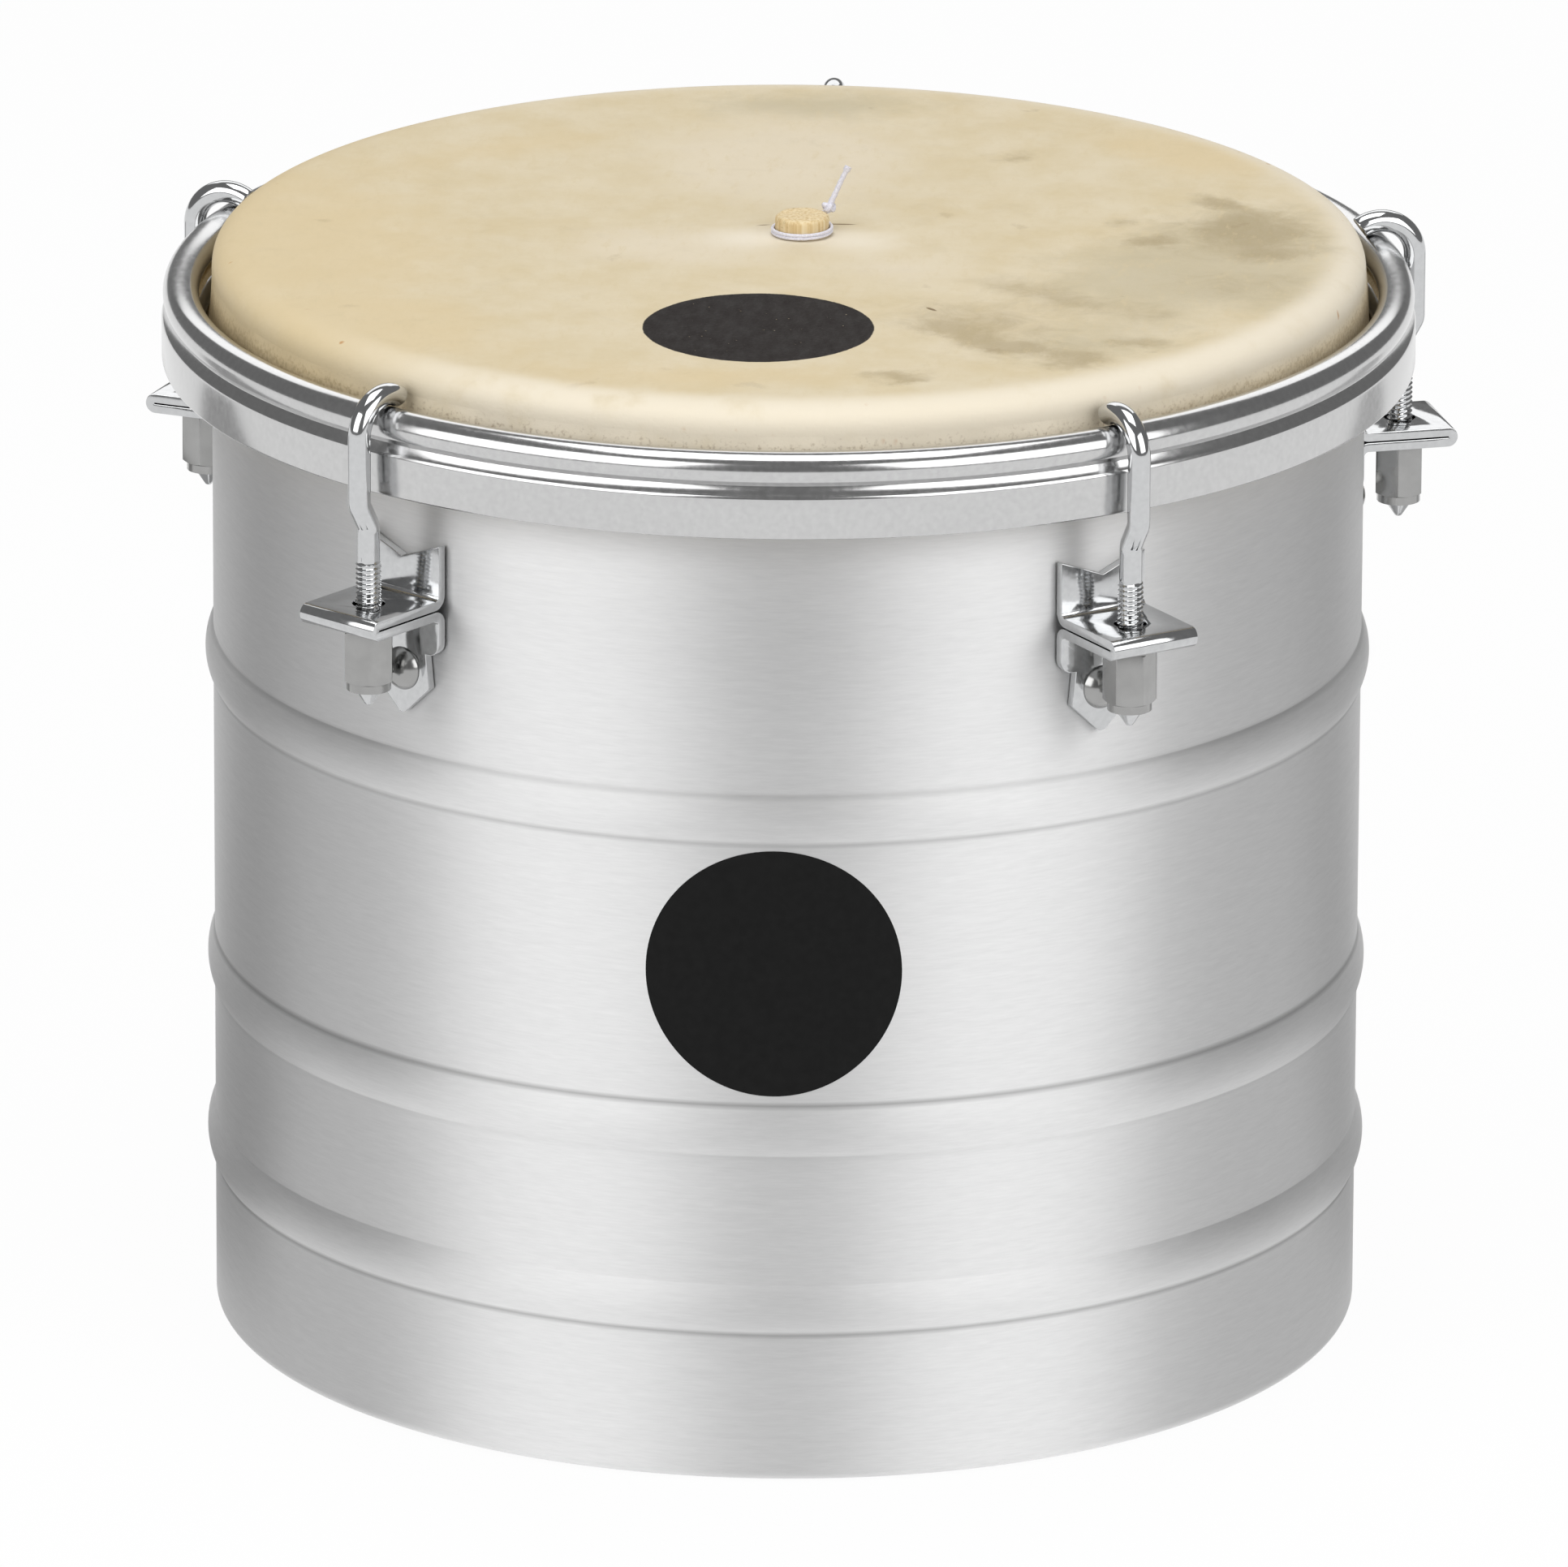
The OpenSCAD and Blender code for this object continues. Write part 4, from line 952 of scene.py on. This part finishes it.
def addLamp(name, aside, above, distance, width, height, power):
    data = bpy.data.lights.new(name, "AREA")
    data.shape, data.size, data.size_y, data.energy = "RECTANGLE", width, height, power
    lamp = bpy.data.objects.new(name, data)
    scene.collection.objects.link(lamp)
    turn, rise = radians(view["aside"] + aside), radians(above)
    away = Vector((cos(rise) * sin(turn), -cos(rise) * cos(turn), sin(rise)))
    lamp.location = Vector(view["target"]) + away * distance
    lamp.rotation_euler = (-away).to_track_quat("-Z", "Y").to_euler()


def addFlag(name, aside, start, length, width, grey):  # a grey card on the floor, seen only in the drum's reflections
    bm = bmesh.new()
    bmesh.ops.create_grid(bm, x_segments=1, y_segments=1, size=0.5)
    bmesh.ops.scale(bm, vec=(width, length, 1), verts=bm.verts)
    mesh = bpy.data.meshes.new(name)
    bm.to_mesh(mesh)
    bm.free()
    card = bpy.data.objects.new(name, mesh)
    turn, middle = radians(view["aside"] + aside), start + length / 2
    card.location = (middle * sin(turn), -middle * cos(turn), 0.0004)
    card.rotation_euler = (0, 0, turn)
    scene.collection.objects.link(card)
    card.visible_camera = card.visible_diffuse = card.visible_shadow = card.visible_transmission = False
    material, tree, shader = newMaterial(name)
    dark = addNode(tree, "Emission", {"Color": (grey, grey, grey, 1)})
    tree.links.new(dark.outputs[0], tree.nodes["Material Output"].inputs["Surface"])
    mesh.materials.append(material)


def addWorld():
    world = bpy.data.worlds.new("studio")
    scene.world = world
    world.use_nodes = True
    back = world.node_tree.nodes["Background"]
    rays = addNode(world.node_tree, "LightPath")
    level = addNode(world.node_tree, "MapRange", {"Value": rays.outputs["Is Camera Ray"], "To Min": studio["world"],
                                                  "To Max": 1.0})
    back.inputs["Color"].default_value = (1, 1, 1, 1)
    world.node_tree.links.new(level.outputs[0], back.inputs["Strength"])


addFloor()
for k, lampValues in enumerate(studio["softboxes"]):
    addLamp(f"softbox_{k + 1}", *lampValues)
addLamp("overhead", 0, 89, studio["overhead"][0], studio["overhead"][1], studio["overhead"][1], studio["overhead"][2])
for k, flagValues in enumerate(studio["flags"]):
    addFlag(f"flag_{k + 1}", *flagValues)
addWorld()
print("studio lit")
